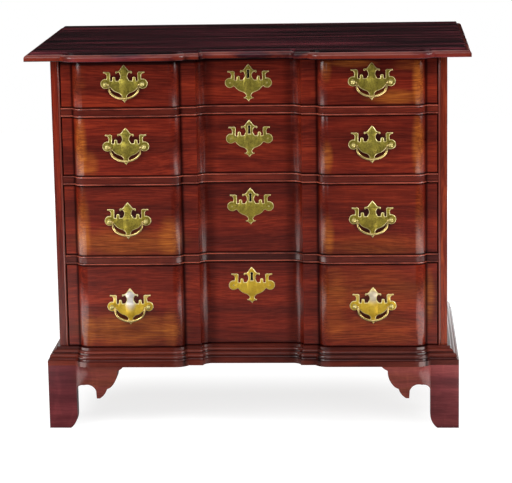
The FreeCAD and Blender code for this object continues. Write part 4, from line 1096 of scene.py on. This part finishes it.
# lamps: place, target, width, height, watts, tint; the last six stand for paper at the feet
NEUTRAL = (1, 1, 1)
WARM_LIGHT = (1.0, 0.94, 0.9)
LAMPS = {
    "key": ((-0.5, -3.7, 2.6), (0, 0, 0.45), 2.8, 2.0, 54, NEUTRAL),
    "left_box": ((-1.5, -1.5, 1.45), (-0.2, -0.2, 0.4), 0.9, 0.9, 25, NEUTRAL),
    "right_box": ((1.9, -0.85, 1.45), (0.2, -0.2, 0.4), 0.9, 0.9, 25, NEUTRAL),
    "back_fill": ((0, 2.6, 0.38), (0, 0, 0.42), 2.0, 0.6, 14, NEUTRAL),
    "left_strip": ((-0.95, -0.75, 0.075), (0, -0.2, 0.10), 1.2, 0.15, 0.8, WARM_LIGHT),
    "right_strip": ((0.95, -0.75, 0.075), (0, -0.2, 0.10), 1.2, 0.15, 0.8, WARM_LIGHT),
    "left_board": ((-1.85, -0.3, 0.10), (-0.35, -0.3, 0.13), 2.0, 0.16, 1.2, WARM_LIGHT),
    "right_board": ((1.85, -0.3, 0.10), (0.35, -0.3, 0.13), 2.0, 0.16, 0.6, WARM_LIGHT),
    "left_paper": ((-0.935, -0.6, 0.012), (-0.935, -0.6, 1), 0.83, 1.4, 10.5, WARM_LIGHT),
    "right_paper": ((0.82, -0.62, 0.012), (0.82, -0.62, 1), 0.7, 1.3, 10, WARM_LIGHT),
}


def under_chest(shader, place):
    """1 on the floor under the chest, fading to 0 a little outside its feet."""
    x, y = shader.parts(place)[0], shader.parts(place)[1]
    across = shader.smooth(shader.math("ABSOLUTE", x), *SHADE_SIDE)
    near = shader.smooth(y, *SHADE_FRONT)
    far = shader.smooth(y, *SHADE_REAR)
    return shader.times(across, shader.times(near, far))


def floor_mirror(shader, place):
    """How bright the floor is in reflections."""
    aside = shader.smooth(shader.math("ABSOLUTE", shader.parts(place)[0]), *MIRROR_ASIDE)
    near = shader.times(shader.smooth(shader.length(place), *MIRROR_NEAR),
                        shader.math("MULTIPLY_ADD", aside, 1 - MIRROR_FRONT, MIRROR_FRONT))
    return shader.math("MULTIPLY_ADD", near, 1 - MIRROR_FAR, MIRROR_FAR)


def make_floor():
    """Pale paper: white to the camera, with a soft shade under the chest."""
    bpy.ops.mesh.primitive_circle_add(vertices=96, radius=FLOOR_RADIUS, fill_type="NGON")
    floor = bpy.context.object
    floor.name = "floor"
    shader = Shader("studio_floor")
    place = shader.place()
    rays = shader.add("ShaderNodeLightPath").outputs
    straight = shader.math("MAXIMUM", rays["Is Camera Ray"], rays["Is Transmission Ray"])
    white = shader.math("MULTIPLY_ADD", under_chest(shader, place), -SHADE, 1.0)
    mirrored = shader.times(rays["Is Glossy Ray"], floor_mirror(shader, place))
    glow = shader.math("ADD", shader.times(straight, white), mirrored)
    matte = shader.add("ShaderNodeBsdfDiffuse", {"Color": grey(FLOOR_GREY)})
    light = shader.add("ShaderNodeEmission", {"Color": grey(1.0), "Strength": glow})
    both = shader.add("ShaderNodeAddShader", {0: matte.outputs[0], 1: light.outputs[0]})
    floor.data.materials.append(shader.surface(both.outputs[0]))


def make_dark_ring():
    """The dark room round the paper, which only reflections show."""
    bpy.ops.mesh.primitive_cylinder_add(vertices=64, radius=RING_RADIUS, depth=RING_HEIGHT,
                                        end_fill_type="NOTHING",
                                        location=(0, 0, RING_HEIGHT / 2 - RING_DROP))
    ring = bpy.context.object
    ring.name = "dark_room"
    shader = Shader("dark_room")
    wall = shader.add("ShaderNodeBsdfDiffuse", {"Color": grey(RING_GREY)})
    ring.data.materials.append(shader.surface(wall.outputs[0]))
    ring.visible_camera = False
    ring.visible_diffuse = False
    ring.visible_transmission = False
    ring.visible_shadow = False


def make_world():
    world = bpy.data.worlds.new("studio")
    bpy.context.scene.world = world
    world.use_nodes = True
    tree = world.node_tree
    tree.nodes.clear()
    output = tree.nodes.new("ShaderNodeOutputWorld")
    rays = tree.nodes.new("ShaderNodeLightPath")
    room = tree.nodes.new("ShaderNodeBackground")
    room.inputs["Color"].default_value = ROOM_TINT
    room.inputs["Strength"].default_value = ROOM_LIGHT
    white = tree.nodes.new("ShaderNodeBackground")
    white.inputs["Color"].default_value = grey(1.0)
    white.inputs["Strength"].default_value = 1.0
    seen = None
    for kind in ("Is Camera Ray", "Is Glossy Ray", "Is Transmission Ray"):
        ray = rays.outputs[kind]
        if seen:
            joined = tree.nodes.new("ShaderNodeMath")
            joined.operation = "MAXIMUM"
            tree.links.new(seen, joined.inputs[0])
            tree.links.new(ray, joined.inputs[1])
            ray = joined.outputs[0]
        seen = ray
    mix = tree.nodes.new("ShaderNodeMixShader")
    tree.links.new(seen, mix.inputs["Fac"])
    tree.links.new(room.outputs[0], mix.inputs[1])
    tree.links.new(white.outputs[0], mix.inputs[2])
    tree.links.new(mix.outputs[0], output.inputs["Surface"])


def softbox(name, place, target, width, height, watts, tint):
    data = bpy.data.lights.new(name, "AREA")
    data.shape = "RECTANGLE"
    data.size = width
    data.size_y = height
    data.energy = watts
    data.color = tint
    lamp = bpy.data.objects.new(name, data)
    bpy.context.scene.collection.objects.link(lamp)
    lamp.location = place
    lamp.rotation_euler = (Vector(target) - Vector(place)).to_track_quat("-Z", "Y").to_euler()
    lamp.visible_camera = False


def make_lights():
    for name, lamp in LAMPS.items():
        softbox(name, *lamp)


# ---------------------------------------------------------------- main

bpy.context.scene.view_settings.view_transform = "Standard"
make_camera()
make_world()
make_floor()
make_dark_ring()
make_lights()
dress_case()
dress_pine()
dress_drawers()
dress_metal()
soften_edges()
